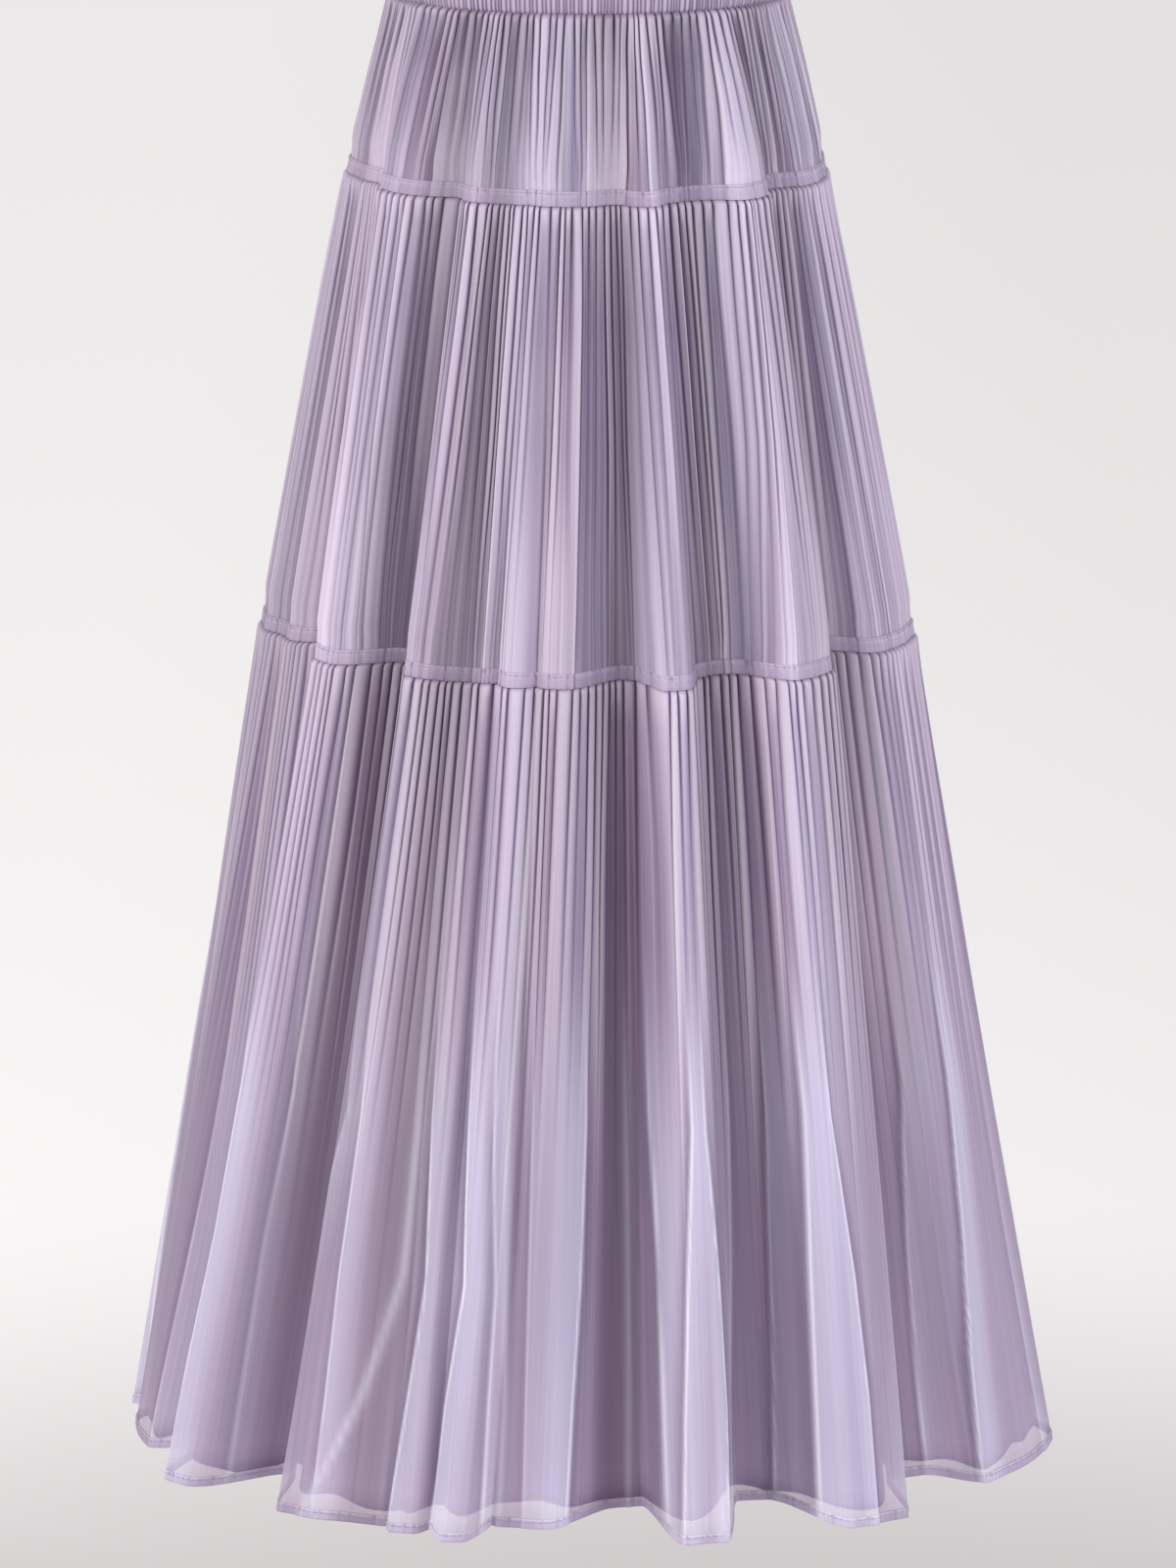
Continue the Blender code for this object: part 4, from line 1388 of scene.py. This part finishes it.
# %% Light
WORLD_STRENGTH = 0.34
world = bpy.data.worlds.new("pale studio")
world.use_nodes = True
world.node_tree.nodes["Background"].inputs["Color"].default_value = linear("F4F2F2")
world.node_tree.nodes["Background"].inputs["Strength"].default_value = WORLD_STRENGTH
bpy.context.scene.world = world


def soft_lamp(name, place, target, size, power, colour):
    """A round lamp at a place, turned to a target. Its size is in metres and its power in watts."""
    data = bpy.data.lights.new(name, "AREA")
    data.shape = "DISK"
    data.size = size
    data.energy = power
    data.color = linear(colour)[:3]
    lamp = bpy.data.objects.new(name, data)
    lamp.location = place
    lamp.rotation_euler = (Vector(target) - Vector(place)).to_track_quat("-Z", "Y").to_euler()
    bpy.context.scene.collection.objects.link(lamp)


soft_lamp("key", (-4.2, -3.0, 2.7), (0, 0, -0.5), 1.2, 215.0, "FFFDFB")
soft_lamp("fill", (4.2, -3.0, 1.2), (0, 0, -0.6), 1.5, 145.0, "F8F8FF")
print("lamps:", [lamp.name for lamp in bpy.data.lights])

# %% [markdown]
# ## Camera
#
# The camera stands six metres in front of the skirt, looks down by thirteen degrees and has a long lens,
# so the folds are hardly drawn together by perspective. The picture cuts the waistband off at its upper
# edge, as the photograph does. Few light bounces are enough for pale cloth, and they keep the render
# short.

# %% Camera
DISTANCE = 6.0
ABOVE_WAIST = 0.915
LOOKING_DOWN = 13.41
SENSOR_HEIGHT = 36.0
LENS = 219.26
camera_data = bpy.data.cameras.new("catalogue")
camera_data.sensor_fit = "VERTICAL"
camera_data.sensor_height = SENSOR_HEIGHT
camera_data.lens = LENS
camera = bpy.data.objects.new("catalogue", camera_data)
camera.location = (0.0, -DISTANCE, -WAISTBAND_HEIGHT / 2 + ABOVE_WAIST)
camera.rotation_euler = (math.radians(90.0 - LOOKING_DOWN), 0.0, 0.0)
scene = bpy.context.scene
scene.collection.objects.link(camera)
scene.camera = camera
scene.view_settings.view_transform = "Standard"
scene.cycles.max_bounces = 3
scene.cycles.diffuse_bounces = 2
scene.cycles.transparent_max_bounces = 5
scene.cycles.use_adaptive_sampling = True
scene.cycles.adaptive_threshold = 0.05
print("camera:", LENS, "mm lens at", [round(part, 3) for part in camera.location])
